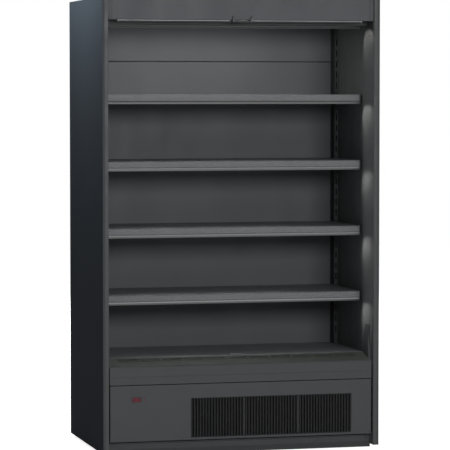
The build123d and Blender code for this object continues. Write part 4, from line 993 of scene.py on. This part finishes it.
floor_mesh = bpy.data.meshes.new("studio_floor")
bm = bmesh.new()
bmesh.ops.create_grid(bm, x_segments=8, y_segments=8, size=14.0)
bm.to_mesh(floor_mesh)
bm.free()
floor = bpy.data.objects.new("studio_floor", floor_mesh)
scene.collection.objects.link(floor)
mat, tree, shader = new_material("studio_floor")
v = place(tree)
assign(tree, shader, {
    "Base Color": mix_colour(tree, noise(tree, v, 3.0, 3.0), (0.80, 0.80, 0.80), (0.84, 0.84, 0.84)),
    "Roughness": 0.8,
    "Specular IOR Level": 0.1,
    "Normal": bump(tree, noise(tree, v, 400.0), 0.05, 0.0002),
    "Emission Strength": math_node(tree, "MULTIPLY", seen_directly(tree), 0.85),
    "Emission Color": WHITE,
})
floor.data.materials.append(mat)

world = bpy.data.worlds.new("studio")
scene.world = world
world.use_nodes = True
tree = world.node_tree
tree.nodes.clear()
ambient = add_node(tree, "Background", {"Color": (0.93, 0.96, 1.0), "Strength": 0.15})
white = add_node(tree, "Background", {"Color": WHITE, "Strength": 1.0})
mixer = add_node(tree, "MixShader", {0: seen_directly(tree), 1: ambient.outputs[0], 2: white.outputs[0]})
add_node(tree, "OutputWorld", {"Surface": mixer.outputs[0]})


def add_lamp(name, kind, power, where, direction, **settings):
    """A lamp that shines along a direction and that the camera doesn't see."""
    data = bpy.data.lights.new(name, kind)
    data.energy = power
    for key, value in settings.items():
        setattr(data, key, value)
    lamp = bpy.data.objects.new(name, data)
    lamp.location = where
    lamp.rotation_euler = Vector(direction).to_track_quat("-Z", "Y").to_euler()
    lamp.visible_camera = False
    scene.collection.objects.link(lamp)
    return lamp


def area_light(name, where, towards, size, power, colour=WHITE, fan=180.0):
    return add_lamp(
        name, "AREA", power, where, Vector(towards) - Vector(where),
        shape="RECTANGLE", size=size[0], size_y=size[1], color=colour, spread=radians(fan),
    )


def wall_spot(name, side, y, z, power):
    """The end of a lamp strip, which throws a fan of light down the end wall."""
    add_lamp(
        name, "SPOT", power, (side * 0.535, y, z), (side * 0.9, -0.75, -1.0),
        spot_size=radians(88.0), spot_blend=0.9, shadow_soft_size=0.006, color=WARM,
    )


area_light("key", (0.9, -8.6, 2.75), (0.0, 0.0, 1.2), (3.0, 1.6), 420.0)
area_light("side", (-1.04, 0.05, 2.40), (-0.66, 0.05, 1.75), (1.1, 0.25), 20.0, (0.72, 0.87, 1.0))
# The roof and the back mirror the pale world and not these two lamps, which would show in them as white patches.
area_light("fill_right", (7.4, 1.6, 3.3), (0.6, 0.0, 1.1), (3.0, 2.0), 330.0).visible_glossy = False
area_light("fill_back", (0.8, 7.6, 3.3), (0.0, 0.4, 1.1), (3.0, 2.0), 330.0).visible_glossy = False

# The lamps of the canopy and the shelves: a strip each, and a fan of light on each end wall.
canopy_lamp_z = 1.896
canopy_from, canopy_to = (-0.14, FRONT + 0.180, canopy_lamp_z), (-0.14, FRONT + 0.30, 1.5)
area_light("canopy_strip", canopy_from, canopy_to, (0.86, 0.02), 3.2, WARM)
for side, word, share in ((-1.0, "left", 0.4), (1.0, "right", 1.0)):
    wall_spot(f"fan_canopy_{word}", side, FRONT + 0.150, canopy_lamp_z, 0.68)
    for n, power in zip(SHELVES, (0.8, 0.85, 0.9, 0.8)):
        lamp_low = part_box(f"shelf_{n}_lamp")[0]
        wall_spot(f"fan_{n}_{word}", side, lamp_low.y - 0.008, lamp_low.z - 0.002, share * power)
strips = ((1, 0.12, 0.0, 1.15), (2, 0.55, -0.14, 0.87), (3, 0.55, -0.14, 0.87), (4, 0.50, -0.14, 0.87))
for n, power, middle_x, length in strips:
    lamp_low, lamp_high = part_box(f"shelf_{n}_lamp")
    where = Vector((middle_x, (lamp_low.y + lamp_high.y) / 2.0, lamp_low.z - 0.002))
    area_light(f"strip_{n}", where, where + Vector((0.0, -0.35, -1.0)), (length, 0.01), power, WARM, 106.0)

camera_data = bpy.data.cameras.new("camera")
camera = bpy.data.objects.new("camera", camera_data)
scene.collection.objects.link(camera)
camera.location = (-2.903, -11.245, 1.618)
camera.rotation_euler = (radians(90.0 - 3.037), 0.0, -radians(14.543))
camera_data.lens = 202.36
camera_data.sensor_width = 36.0
camera_data.clip_end = 200.0
scene.camera = camera
scene.view_settings.view_transform = "Standard"
